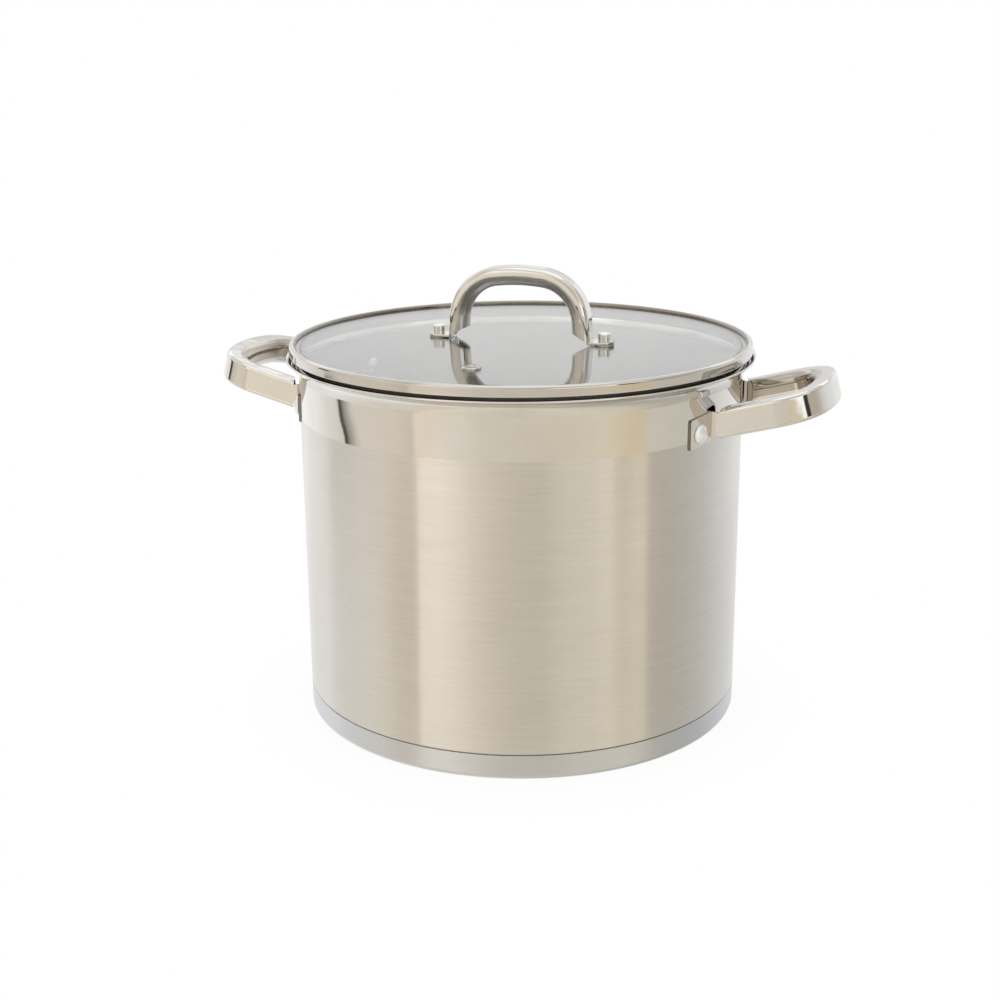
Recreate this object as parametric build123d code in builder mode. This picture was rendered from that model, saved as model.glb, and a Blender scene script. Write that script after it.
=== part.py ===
from build123d import *
from math import acos, asin, atan, cos, degrees, radians, sin, sqrt, tan
import os

os.makedirs("parts", exist_ok=True)

# ---------------------------------------------------------------------------
# Stock pot, 24 cm, with two hollow side handles and a flat glass lid.
# Millimetres. +Z up, origin at the centre of the base's underside.
# The side handles and the lid's handle lie along X; the steam vent is at -Y.
# ---------------------------------------------------------------------------

# ---- pot shell -------------------------------------------------------------
pot_r = 120.0               # outside radius of the drawn wall
wall_t = 1.0                # sheet thickness
cap_t = 0.8                 # steel capsule's floor
core_t = 6.2                # heat spreader between the capsule and the pot's floor
floor_z = cap_t + core_t    # underside of the pot's floor
seam_z = 13.9               # joint line between wall and capsule
seam_gap = 0.3              # open joint line above the capsule's edge
cap_top = seam_z - seam_gap
joggle = 0.8                # wall's inward step below the joint line
joggle_top = seam_z + 0.1   # upper end of the step, outside
joggle_in_low = seam_z + 0.3   # lower and upper ends of the step, inside
joggle_in_top = seam_z + 1.1
low_r = pot_r - joggle      # wall's radius inside the capsule
floor_fillet = 6.0          # outside radius between floor and wall
flare_z = 188.1             # where the wall starts to turn outwards
flare_r = 9.0               # outside radius of the pouring rim's curve
flare_deg = 75.0            # how far the rim turns outwards
rim_round = 0.35            # rounding of the rim's cut edge

# ---- base ------------------------------------------------------------------
cap_r = 119.9               # outside radius of the capsule
cap_in = 119.25             # inside radius of the capsule
cap_fillet = 3.0            # capsule's lower edge
cap_in_fillet = 2.3         # the same edge inside
cap_edge_round = 0.25       # capsule's upper edge
core_fillet = 2.4           # heat spreader's lower edge
core_shelf_run = 4.8        # spreader follows the floor's fillet this far out

# ---- side handles ----------------------------------------------------------
handle_tilt = 14.8          # the loop rises outwards by this angle
handle_z = 174.2            # height of the loop's mid plane at the wall
arm_mid = 33.5              # half the distance between the arms' mid lines
arm_w = 13.0                # tube's section in the loop's plane
arm_h = 15.0                # tube's section across the loop's plane
arm_outer_fillet = 2.2      # edges of the flat outer face
arm_inner_fillet = 5.6      # edges of the rounded inner face
handle_t = 1.1              # sheet thickness of the handle
loop_start = -9.0           # start of the swept arms, from the wall; trimmed later
loop_end = 46.0             # mid line of the bowed end, along the tilt from the wall
corner_r = 19.0             # mid line radius of the loop's corners
bow_r = 75.0                # mid line radius of the loop's bowed end
tab_tip_deg = 28.0          # tip of the riveted tab, round the pot from the X axis
tab_tip_round = 1.2
tab_tip_drop = 0.6          # tab tip's mid height below the rivet
root_bend = 2.4             # inside radius of the bend between arm and tab
root_reach = 2.0            # strip ends this far outside the wall's radius
arm_trim_x = 122.6          # tube's trimmed end on the arms' inner side
rivet_deg = 24.4            # rivet, round the pot from the X axis
rivet_z = 170.6

# ---- handle rivets ---------------------------------------------------------
rivet_r = 2.45
rivet_hole_r = 2.5
rivet_head_r = 4.9
rivet_head_h = 2.7
rivet_edge_h = 0.8
rivet_inner_r = 4.4
rivet_inner_h = 1.4

# ---- lid -------------------------------------------------------------------
glass_r = 123.8
glass_top = 203.2
glass_t = 3.6
glass_bot = glass_top - glass_t
glass_round = 0.4
ring_r = 124.8              # outside radius of the steel band
ring_top = 204.8
ring_bot = 198.8
ring_t = 0.8                # sheet thickness of the band
lip_r = 121.3               # band's lip on top of the glass
foot_out = 121.0            # band's foot, which sits inside the pouring rim
foot_in = 118.4
foot_bot = 193.55
fix_x = 47.0                # lid handle's fasteners, from the lid's centre
lid_hole_r = 4.2            # their holes in the glass
vent_y = -79.0              # steam vent, from the lid's centre
vent_hole_r = 3.6           # its hole in the glass
hole_play = 0.05            # gap round the seals and the eyelet in the glass

# ---- lid handle ------------------------------------------------------------
arch_top = 238.4            # height of the arch's mid line
arch_w = 10.4               # tube's section in the arch's plane
arch_d = 13.2               # tube's section along Y
arch_t = 1.2                # sheet thickness
arch_outer_fillet = 3.5
arch_inner_fillet = 6.2
arch_corner_r = 23.8        # mid line radius of the arch's shoulders
arch_crown_r = 105.0        # mid line radius of the arch's crown
crown_half = 7.25           # half the angle of the crown's arc
leg_splay = 4.5             # the legs lean outwards by this angle
foot_slant = 4.8            # how much higher the leg's inner side is cut
foot_tab_w = 10.6
seal_flange_t = 0.5         # silicone under and over the glass
seal_flange_r = 5.2
pin_r = 2.0
pin_hole_r = 2.05
pin_head_r = 3.3
pin_head_h = 4.6
pin_head_round = 0.7
washer_r = 5.5
washer_t = 1.0
pin_tail_r = 3.6
pin_tail_h = 2.0
pin_tail_tip_r = 2.0        # tail's cone narrows to this radius
pin_tail_edge_h = 0.7       # straight edge above the cone


def corner(sketch, *points):
    """The vertices of a sketch that stand at the given places."""
    return [
        v
        for v in sketch.vertices()
        if any(abs(v.X - x) < 1e-3 and abs(v.Y - y) < 1e-3 for x, y in points)
    ]


def polar(radius, angle):
    """A point round the origin; the angle is in radians from the X axis."""
    return (radius * cos(angle), radius * sin(angle))


def cap_mid(chord_r, height):
    """Halfway point on a spherical cap, as (drop from the apex, radius)."""
    sphere_r = (chord_r**2 + height**2) / (2 * height)
    half = asin(chord_r / sphere_r) / 2
    return (sphere_r - sphere_r * cos(half), sphere_r * sin(half))


# Planes facing outwards along the four handle rivets; the first two are at +X.
rivet_planes = [
    Plane(
        origin=(0, 0, rivet_z),
        z_dir=(sx * cos(radians(rivet_deg)), sy * sin(radians(rivet_deg)), 0),
    )
    for sx in (1, -1)
    for sy in (1, -1)
]
rivet_cut = pot_r + 10      # rivet holes are cut this far from the axis

# ============================ pot body ======================================
# One drawn sheet: floor, corner, joggle, wall and outward pouring rim.
flare_c = (pot_r + flare_r, flare_z)
floor_c = (low_r - floor_fillet, floor_z + floor_fillet)


def flare_point(radius, angle):
    """A point round the flare's centre; degrees from its -X side upwards."""
    a = radians(angle)
    return (flare_c[0] - radius * cos(a), flare_c[1] + radius * sin(a))


def floor_point(radius, angle):
    """A point round the floor fillet's centre; radians from straight down outwards."""
    return (floor_c[0] + radius * sin(angle), floor_c[1] - radius * cos(angle))


with BuildPart() as pot_body:
    with BuildSketch(Plane.XZ):
        with BuildLine():
            Polyline((0, floor_z + wall_t), (0, floor_z), (floor_c[0], floor_z))
            ThreePointArc(
                (floor_c[0], floor_z),
                floor_point(floor_fillet, radians(45)),
                (low_r, floor_c[1]),
            )
            Polyline(
                (low_r, floor_c[1]),
                (low_r, cap_top),
                (pot_r, joggle_top),
                (pot_r, flare_z),
            )
            ThreePointArc(
                (pot_r, flare_z),
                flare_point(flare_r, flare_deg / 2),
                flare_point(flare_r, flare_deg),
            )
            Line(
                flare_point(flare_r, flare_deg),
                flare_point(flare_r + wall_t, flare_deg),
            )
            ThreePointArc(
                flare_point(flare_r + wall_t, flare_deg),
                flare_point(flare_r + wall_t, flare_deg / 2),
                (pot_r - wall_t, flare_z),
            )
            Polyline(
                (pot_r - wall_t, flare_z),
                (pot_r - wall_t, joggle_in_top),
                (low_r - wall_t, joggle_in_low),
                (low_r - wall_t, floor_c[1]),
            )
            ThreePointArc(
                (low_r - wall_t, floor_c[1]),
                floor_point(floor_fillet - wall_t, radians(45)),
                (floor_c[0], floor_z + wall_t),
            )
            Line((floor_c[0], floor_z + wall_t), (0, floor_z + wall_t))
        make_face()
    revolve(axis=Axis.Z)
    rim_low = flare_point(flare_r, flare_deg)[1] - 0.01
    fillet(
        pot_body.edges()
        .filter_by(GeomType.CIRCLE)
        .filter_by(lambda e: e.center().Z > rim_low),
        radius=rim_round,
    )
    for rivet_plane in rivet_planes:
        with BuildSketch(rivet_plane):
            Circle(rivet_hole_r)
        extrude(amount=rivet_cut, mode=Mode.SUBTRACT)

# ============================ base ==========================================
# Aluminium heat spreader between the capsule and the pot's rounded floor.
shelf_turn = asin(core_shelf_run / floor_fillet)
core_shelf = floor_point(floor_fillet, shelf_turn)
with BuildPart() as base_core:
    with BuildSketch(Plane.XZ) as core_profile:
        with BuildLine():
            Polyline(
                (0, floor_z),
                (0, cap_t),
                (low_r, cap_t),
                (low_r, core_shelf[1]),
                core_shelf,
            )
            ThreePointArc(
                core_shelf,
                floor_point(floor_fillet, shelf_turn / 2),
                (floor_c[0], floor_z),
            )
            Line((floor_c[0], floor_z), (0, floor_z))
        make_face()
        fillet(corner(core_profile, (low_r, cap_t)), radius=core_fillet)
    revolve(axis=Axis.Z)

# Steel capsule round the spreader; its edge stops just below the joint line.
with BuildPart() as base_cap:
    with BuildSketch(Plane.XZ) as cap_profile:
        with BuildLine():
            Polyline(
                (0, cap_t),
                (0, 0),
                (cap_r, 0),
                (cap_r, cap_top),
                (cap_in, cap_top),
                (cap_in, cap_t),
                close=True,
            )
        make_face()
        fillet(corner(cap_profile, (cap_r, 0)), radius=cap_fillet)
        fillet(corner(cap_profile, (cap_in, cap_t)), radius=cap_in_fillet)
        fillet(corner(cap_profile, (cap_r, cap_top)), radius=cap_edge_round)
    revolve(axis=Axis.Z)

# ============================ side handles ==================================
# The loop's mid line lies in a plane that rises outwards. Its ends are straight
# arms, its far end is bowed, and the corners join them tangentially.
tilt = radians(handle_tilt)
slope = tan(tilt)
loop_plane = Plane(
    origin=(pot_r, 0, handle_z),
    x_dir=(cos(tilt), 0, sin(tilt)),
    z_dir=(-sin(tilt), 0, cos(tilt)),
)
corner_turn = degrees(acos((arm_mid - corner_r) / (bow_r - corner_r)))
straight_end = loop_end - bow_r + (bow_r - corner_r) * sin(radians(corner_turn))

# Root of each arm: the flat outer wall runs on to the pot and turns into a tab
# that hugs the wall and takes one rivet. First its plan, seen from above.
tab_tip = radians(tab_tip_deg)
tab_r = pot_r + handle_t                    # tab's outer face
strip_out = arm_mid + arm_w / 2             # outer wall's faces, along Y
strip_in = strip_out - handle_t
root_x = sqrt(pot_r**2 - strip_in**2)       # where the inner face meets the pot
bend_x = sqrt(tab_r**2 - strip_out**2)      # where the outer face meets the tab
inner_mid = (atan(strip_in / root_x) + tab_tip) / 2
outer_mid = (atan(strip_out / bend_x) + tab_tip) / 2
strip_end = pot_r + root_reach

# Then the outline of its sloping upper and lower edges, seen along Y.
half_strip = (arm_h / 2 - arm_outer_fillet) / cos(tilt)
half_tab = arm_h / 2 / cos(tilt)
tab_end_x = pot_r * cos(tab_tip) - 2.0
tab_end_z = rivet_z - tab_tip_drop
taper_x = (bend_x - 0.5, bend_x + 4.0)      # between them the tab narrows to the strip


def mid_z(x):
    """Height of the loop's mid plane at x."""
    return handle_z + (x - pot_r) * slope


with BuildPart() as handle_roots:
    for hand in (1, -1):
        with BuildSketch(Plane.XY.offset(150)) as root_plan:
            with BuildLine():
                ThreePointArc(
                    (root_x, hand * strip_in),
                    polar(pot_r, hand * inner_mid),
                    polar(pot_r, hand * tab_tip),
                )
                Line(polar(pot_r, hand * tab_tip), polar(tab_r, hand * tab_tip))
                ThreePointArc(
                    polar(tab_r, hand * tab_tip),
                    polar(tab_r, hand * outer_mid),
                    (bend_x, hand * strip_out),
                )
                Polyline(
                    (bend_x, hand * strip_out),
                    (strip_end, hand * strip_out),
                    (strip_end, hand * strip_in),
                    (root_x, hand * strip_in),
                )
            make_face()
            fillet(corner(root_plan, (bend_x, hand * strip_out)), radius=root_bend)
            fillet(
                corner(root_plan, (root_x, hand * strip_in)),
                radius=root_bend + handle_t,
            )
        extrude(amount=50)
    with BuildSketch(Plane.XZ):
        Polygon(
            (tab_end_x, tab_end_z - half_tab),
            (taper_x[0], mid_z(taper_x[0]) - half_tab),
            (taper_x[1], mid_z(taper_x[1]) - half_strip),
            (strip_end, mid_z(strip_end) - half_strip),
            (strip_end, mid_z(strip_end) + half_strip),
            (taper_x[1], mid_z(taper_x[1]) + half_strip),
            (taper_x[0], mid_z(taper_x[0]) + half_tab),
            (tab_end_x, tab_end_z + half_tab),
            align=None,
        )
    extrude(amount=60, both=True, mode=Mode.INTERSECT)
    for rivet_plane in rivet_planes[:2]:
        with BuildSketch(rivet_plane):
            Circle(rivet_hole_r)
        extrude(amount=rivet_cut, mode=Mode.SUBTRACT)
    # short edges through the sheet at the tabs' tips
    tip_edges = (
        handle_roots.edges()
        .filter_by(GeomType.LINE)
        .filter_by(lambda e: abs(e.length - handle_t) < 0.05)
        .filter_by(lambda e: e.center().X < tab_end_x + 3.5)
    )
    fillet(tip_edges, radius=tab_tip_round)

trim_box_x = 90.0           # the trimming cutter's sides, clear of the tube
trim_box_y = (20.0, 50.0)
with BuildPart() as right_handle:
    with BuildLine(loop_plane) as loop:
        arm_1 = Line((loop_start, -arm_mid), (straight_end, -arm_mid))
        turn_1 = JernArc(arm_1 @ 1, arm_1 % 1, corner_r, corner_turn)
        bow = JernArc(turn_1 @ 1, turn_1 % 1, bow_r, 180 - 2 * corner_turn)
        turn_2 = JernArc(bow @ 1, bow % 1, corner_r, corner_turn)
        # a Vector is taken as a place in the pot's frame, so it is converted first
        arm_2_end = loop_plane.from_local_coords(Vector(loop_start, arm_mid, 0))
        arm_2 = Line(turn_2 @ 1, arm_2_end)
    section_plane = Plane(origin=arm_1 @ 0, x_dir=(0, 1, 0), z_dir=arm_1 % 0)
    # the tube, then its bore
    for inset, mode in ((0, Mode.ADD), (handle_t, Mode.SUBTRACT)):
        with BuildSketch(section_plane) as arm_section:
            Rectangle(arm_w - 2 * inset, arm_h - 2 * inset)
            fillet(
                arm_section.vertices().sort_by(Axis.Y)[:2],
                radius=arm_outer_fillet - inset,
            )
            fillet(
                arm_section.vertices().sort_by(Axis.Y)[-2:],
                radius=arm_inner_fillet - inset,
            )
        sweep(path=loop.wire(), mode=mode)
    # the tube's ends are cut at a slant, clear of the pot's wall
    with BuildSketch(Plane.XY.offset(140)):
        for hand in (1, -1):
            Polygon(
                (trim_box_x, hand * trim_box_y[1]),
                (bend_x + 2.0, hand * trim_box_y[1]),
                (bend_x + 3.2, hand * strip_out),
                (arm_trim_x, hand * (arm_mid - arm_w / 2)),
                (arm_trim_x, hand * trim_box_y[0]),
                (trim_box_x, hand * trim_box_y[0]),
                align=None,
            )
    extrude(amount=80, mode=Mode.SUBTRACT)
    add(handle_roots.part)

with BuildPart() as left_handle:
    add(right_handle.part, rotation=(0, 0, 180))

# ============================ handle rivets =================================
# Four solid rivets: domed head on the tab, shank through tab and wall,
# low head inside the pot. One is drawn along X and turned into each place.
in_face = sqrt((pot_r - wall_t) ** 2 - rivet_inner_r**2) - 0.01
in_apex = in_face - rivet_inner_h
out_edge = tab_r + rivet_edge_h
out_apex = tab_r + rivet_head_h
in_drop, in_mid_r = cap_mid(rivet_inner_r, rivet_inner_h)
out_drop, out_mid_r = cap_mid(rivet_head_r, rivet_head_h - rivet_edge_h)
with BuildPart() as one_rivet:
    with BuildSketch(Plane.XZ):
        with BuildLine():
            ThreePointArc(
                (in_apex, rivet_z),
                (in_apex + in_drop, rivet_z + in_mid_r),
                (in_face, rivet_z + rivet_inner_r),
            )
            Polyline(
                (in_face, rivet_z + rivet_inner_r),
                (in_face, rivet_z + rivet_r),
                (tab_r, rivet_z + rivet_r),
                (tab_r, rivet_z + rivet_head_r),
                (out_edge, rivet_z + rivet_head_r),
            )
            ThreePointArc(
                (out_edge, rivet_z + rivet_head_r),
                (out_apex - out_drop, rivet_z + out_mid_r),
                (out_apex, rivet_z),
            )
            Line((out_apex, rivet_z), (in_apex, rivet_z))
        make_face()
    revolve(axis=Axis((0, 0, rivet_z), (1, 0, 0)))
with BuildPart() as handle_rivets:
    for turn in (rivet_deg, -rivet_deg, 180 - rivet_deg, 180 + rivet_deg):
        add(one_rivet.part, rotation=(0, 0, turn))

# ============================ lid: glass ====================================
fix_places = ((fix_x, 0), (-fix_x, 0))
with BuildPart() as lid_glass:
    with BuildSketch(Plane.XY.offset(glass_bot)):
        Circle(glass_r)
        with Locations(*fix_places):
            Circle(lid_hole_r, mode=Mode.SUBTRACT)
        with Locations((0, vent_y)):
            Circle(vent_hole_r, mode=Mode.SUBTRACT)
    extrude(amount=glass_t)
    fillet(
        lid_glass.edges()
        .filter_by(GeomType.CIRCLE)
        .filter_by(lambda e: abs(e.radius - glass_r) < 0.01),
        radius=glass_round,
    )

# ============================ lid: steel band ===============================
# Rolled band round the glass: rounded lip on top, upright outer face, flange
# under the glass, and a hollow foot that sits inside the pouring rim.
# Rounded corners of its profile: (radius from the axis, height), fillet radius.
ring_fillets = (
    ((lip_r, ring_top), 1.2),
    ((ring_r, ring_top), 1.7),
    ((ring_r - ring_t, ring_top - ring_t), 0.9),
    ((ring_r, ring_bot), 0.9),
    ((foot_out, ring_bot), 0.4),
    ((foot_out - ring_t, glass_bot), 1.2),
    ((foot_out, foot_bot), 0.9),
    ((foot_in, foot_bot), 0.9),
)
with BuildPart() as lid_ring:
    with BuildSketch(Plane.XZ) as ring_profile:
        with BuildLine():
            Polyline(
                (lip_r, glass_top),
                (lip_r, ring_top),
                (ring_r, ring_top),
                (ring_r, ring_bot),
                (foot_out, ring_bot),
                (foot_out, foot_bot),
                (foot_in, foot_bot),
                (foot_in, glass_bot),
                (foot_in + ring_t, glass_bot),
                (foot_in + ring_t, foot_bot + ring_t),
                (foot_out - ring_t, foot_bot + ring_t),
                (foot_out - ring_t, glass_bot),
                (ring_r - ring_t, glass_bot),
                (ring_r - ring_t, ring_top - ring_t),
                (lip_r + ring_t, ring_top - ring_t),
                (lip_r + ring_t, glass_top),
                close=True,
            )
        make_face()
        for place, size in ring_fillets:
            fillet(corner(ring_profile, place), radius=size)
    revolve(axis=Axis.Z)

# ============================ lid: handle ===================================
# Hollow arch with flat outer face. The legs are cut at a slant; the outer wall
# runs down to the glass and turns outwards into a tab for the fastener.
tab_bot = glass_top + seal_flange_t
tab_top = tab_bot + arch_t
splay = radians(leg_splay)
crown_gap = arch_crown_r - arch_corner_r    # between the arcs' centres
shoulder_c = (
    crown_gap * sin(radians(crown_half)),
    arch_top - arch_crown_r + crown_gap * cos(radians(crown_half)),
)
leg_top = (
    shoulder_c[0] + arch_corner_r * cos(splay),
    shoulder_c[1] + arch_corner_r * sin(splay),
)


def leg_x(z):
    """Distance of a leg's mid line from the lid's centre at height z."""
    return leg_top[0] + (leg_top[1] - z) * tan(splay)


leg_low = tab_bot - 2.0     # the legs are swept from below the tabs, then cut
low_x = leg_x(leg_low)
outer_x = leg_x(tab_top) + arch_w / 2 / cos(splay)
wall_x = outer_x - arch_t   # inner face of the leg's outer wall, at the tab
slant_x = outer_x - arch_w  # inner side of the leg
cut_over = 5                # the cutters run past the leg by this much
shoulder_turn = 90 - leg_splay - crown_half
with BuildPart() as lid_handle:
    with BuildLine(Plane.XZ) as arch:
        leg_1 = Line((-low_x, leg_low), (-leg_top[0], leg_top[1]))
        shoulder_1 = JernArc(leg_1 @ 1, leg_1 % 1, arch_corner_r, -shoulder_turn)
        crown = JernArc(shoulder_1 @ 1, shoulder_1 % 1, arch_crown_r, -2 * crown_half)
        shoulder_2 = JernArc(crown @ 1, crown % 1, arch_corner_r, -shoulder_turn)
        leg_2 = Line(shoulder_2 @ 1, Vector(low_x, 0, leg_low))
    foot_plane = Plane(
        origin=(-low_x, 0, leg_low),
        x_dir=(cos(splay), 0, -sin(splay)),
        z_dir=(sin(splay), 0, cos(splay)),
    )
    # the tube, then its bore
    for inset, mode in ((0, Mode.ADD), (arch_t, Mode.SUBTRACT)):
        with BuildSketch(foot_plane) as leg_section:
            Rectangle(arch_w - 2 * inset, arch_d - 2 * inset)
            fillet(
                leg_section.vertices().sort_by(Axis.X)[:2],
                radius=arch_outer_fillet - inset,
            )
            fillet(
                leg_section.vertices().sort_by(Axis.X)[-2:],
                radius=arch_inner_fillet - inset,
            )
        sweep(path=arch.wire(), mode=mode)
    # slanted ends of the legs, and the outer wall cut level with the tab's underside
    with BuildSketch(Plane.XZ):
        for hand in (1, -1):
            Polygon(
                (hand * wall_x, tab_bot - cut_over),
                (hand * wall_x, tab_top),
                (hand * slant_x, tab_top + foot_slant),
                (hand * (slant_x - cut_over), tab_top + foot_slant),
                (hand * (slant_x - cut_over), tab_bot - cut_over),
                align=None,
            )
            Polygon(
                (hand * (wall_x - 1), tab_bot - cut_over),
                (hand * (wall_x - 1), tab_bot),
                (hand * (outer_x + cut_over), tab_bot),
                (hand * (outer_x + cut_over), tab_bot - cut_over),
                align=None,
            )
    extrude(amount=20, both=True, mode=Mode.SUBTRACT)
    # tabs
    with BuildSketch(Plane.XY.offset(tab_bot)):
        for hand in (1, -1):
            with Locations((hand * (wall_x + fix_x) / 2, 0)):
                Rectangle(fix_x - wall_x, foot_tab_w)
            with Locations((hand * fix_x, 0)):
                Circle(foot_tab_w / 2)
        with Locations(*fix_places):
            Circle(pin_hole_r, mode=Mode.SUBTRACT)
    extrude(amount=arch_t)

# ============================ lid: fasteners and seals ======================
tail_top = glass_bot - seal_flange_t - washer_t
head_top = tab_top + pin_head_h
with BuildPart() as lid_rivets:
    for pin_x in (fix_x, -fix_x):
        with BuildSketch(Plane.XZ) as pin_profile:
            with BuildLine():
                Polyline(
                    (pin_x, tail_top - pin_tail_h),
                    (pin_x + pin_tail_tip_r, tail_top - pin_tail_h),
                    (pin_x + pin_tail_r, tail_top - pin_tail_edge_h),
                    (pin_x + pin_tail_r, tail_top),
                    (pin_x + pin_r, tail_top),
                    (pin_x + pin_r, tab_top),
                    (pin_x + pin_head_r, tab_top),
                    (pin_x + pin_head_r, head_top),
                    (pin_x, head_top),
                    close=True,
                )
            make_face()
            fillet(
                corner(pin_profile, (pin_x + pin_head_r, head_top)),
                radius=pin_head_round,
            )
        revolve(axis=Axis((pin_x, 0, 0), (0, 0, 1)))

# Silicone bush in each glass hole, with a flange above and below the glass.
bush_r = lid_hole_r - hole_play
with BuildPart() as lid_seals:
    for pin_x in (fix_x, -fix_x):
        with BuildSketch(Plane.XZ):
            with BuildLine():
                Polyline(
                    (pin_x + pin_hole_r, glass_bot - seal_flange_t),
                    (pin_x + seal_flange_r, glass_bot - seal_flange_t),
                    (pin_x + seal_flange_r, glass_bot),
                    (pin_x + bush_r, glass_bot),
                    (pin_x + bush_r, glass_top),
                    (pin_x + seal_flange_r, glass_top),
                    (pin_x + seal_flange_r, tab_bot),
                    (pin_x + pin_hole_r, tab_bot),
                    close=True,
                )
            make_face()
        revolve(axis=Axis((pin_x, 0, 0), (0, 0, 1)))

with BuildPart() as lid_washers:
    with BuildSketch(Plane.XY.offset(tail_top)):
        with Locations(*fix_places):
            Circle(washer_r)
            Circle(pin_hole_r, mode=Mode.SUBTRACT)
    extrude(amount=washer_t)

# Pressed eyelet that lines the steam vent, drawn round the Z axis and then moved.
# Its profile: radius from the eyelet's axis, height.
eyelet_outline = (
    (2.1, glass_bot - 0.7),
    (4.7, glass_bot - 0.7),
    (4.7, glass_bot),
    (vent_hole_r - hole_play, glass_bot),
    (vent_hole_r - hole_play, glass_top),
    (5.0, glass_top),
    (5.0, glass_top + 0.5),
    (4.0, glass_top + 1.2),
    (2.7, glass_top + 1.2),
    (2.1, glass_top + 0.6),
)
with BuildPart() as vent_eyelet:
    with BuildSketch(Plane.XZ):
        with BuildLine():
            Polyline(*eyelet_outline, close=True)
        make_face()
    revolve(axis=Axis.Z)
with BuildPart() as steam_vent:
    add(vent_eyelet.part.moved(Location((0, vent_y, 0))))

# ============================ export ========================================
pieces = {
    "pot_body": pot_body,
    "base_core": base_core,
    "base_cap": base_cap,
    "right_handle": right_handle,
    "left_handle": left_handle,
    "handle_rivets": handle_rivets,
    "lid_glass": lid_glass,
    "lid_ring": lid_ring,
    "lid_handle": lid_handle,
    "lid_rivets": lid_rivets,
    "lid_seals": lid_seals,
    "lid_washers": lid_washers,
    "steam_vent": steam_vent,
}
for name, piece in pieces.items():
    piece.part.label = name
    export_step(piece.part, f"parts/{name}.step")
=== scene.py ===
"""Steel cooking pot with a glass lid, built over its CAD pieces.

The pot stands on z = 0 with its axis on Z. The side handles lie on +X and -X, and the
lid's arched handle spans X. Dimensions are in millimetres; meshes are written in metres.
"""
import bpy
from math import sin, cos, tan, acos, asin, atan2, sqrt, radians, degrees, pi
from mathutils import Vector, Matrix


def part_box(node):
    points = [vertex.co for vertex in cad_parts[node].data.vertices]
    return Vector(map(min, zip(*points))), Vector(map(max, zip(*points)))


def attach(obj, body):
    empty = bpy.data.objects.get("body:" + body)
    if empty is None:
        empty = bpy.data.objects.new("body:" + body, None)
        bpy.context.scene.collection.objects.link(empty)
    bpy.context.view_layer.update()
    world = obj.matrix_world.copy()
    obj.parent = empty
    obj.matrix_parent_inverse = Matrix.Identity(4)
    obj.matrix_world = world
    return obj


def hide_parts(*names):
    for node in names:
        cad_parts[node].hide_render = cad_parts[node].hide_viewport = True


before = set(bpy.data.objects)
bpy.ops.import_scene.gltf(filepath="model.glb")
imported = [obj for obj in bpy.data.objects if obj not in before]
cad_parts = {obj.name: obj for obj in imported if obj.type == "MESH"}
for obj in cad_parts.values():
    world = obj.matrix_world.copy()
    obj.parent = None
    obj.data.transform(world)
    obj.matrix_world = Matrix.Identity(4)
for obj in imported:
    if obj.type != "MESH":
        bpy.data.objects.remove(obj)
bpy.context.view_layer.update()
MM = 0.001
ROUND_SEGMENTS = 384

# ---------------------------------------------------------------------------
# Places taken from the CAD pieces
# ---------------------------------------------------------------------------


def box_mm(node):
    """Low and high corners of a CAD piece's box."""
    return [[v * 1000 for v in corner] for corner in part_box(node)]


pot_lo, pot_hi = box_mm("pot_body")
cap_lo, cap_hi = box_mm("base_cap")
ring_lo, ring_hi = box_mm("lid_ring")
glass_lo, glass_hi = box_mm("lid_glass")
arch_lo, arch_hi = box_mm("lid_handle")
pin_lo, pin_hi = box_mm("lid_rivets")
vent_lo, vent_hi = box_mm("steam_vent")
head_lo, head_hi = box_mm("handle_rivets")

FLOOR_Z = round(pot_lo[2], 3)
CAP_R = round(cap_hi[0], 2)
CAP_TOP = round(cap_hi[2], 2)
RING_R = round(ring_hi[0], 2)
RING_TOP = round(ring_hi[2], 3)
FOOT_BOT = round(ring_lo[2], 3)
GLASS_TOP = round(glass_hi[2], 3)
GLASS_BOT = round(glass_lo[2], 3)
TAB_BOT = round(arch_lo[2], 3)
ARCH_TOP = round(arch_hi[2], 3)
PIN_TOP = round(pin_hi[2], 3)
VENT_Y = round((vent_lo[1] + vent_hi[1]) / 2, 2)
VENT_TOP = round(vent_hi[2], 3)
VENT_BOT = round(vent_lo[2], 3)
RIVET_Z = round((head_lo[2] + head_hi[2]) / 2, 2)

POT_R = 120.0
WALL_T = 1.0
POLISH_Z = 166.8  # the wall is brushed below this height and mirror-polished above

# ---------------------------------------------------------------------------
# Mesh building: every corner of every face carries its exact surface normal,
# so that polished steel mirrors cleanly. A section is a list of primitives
# (points, normals, material index), with points in the section's plane.
# ---------------------------------------------------------------------------


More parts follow.
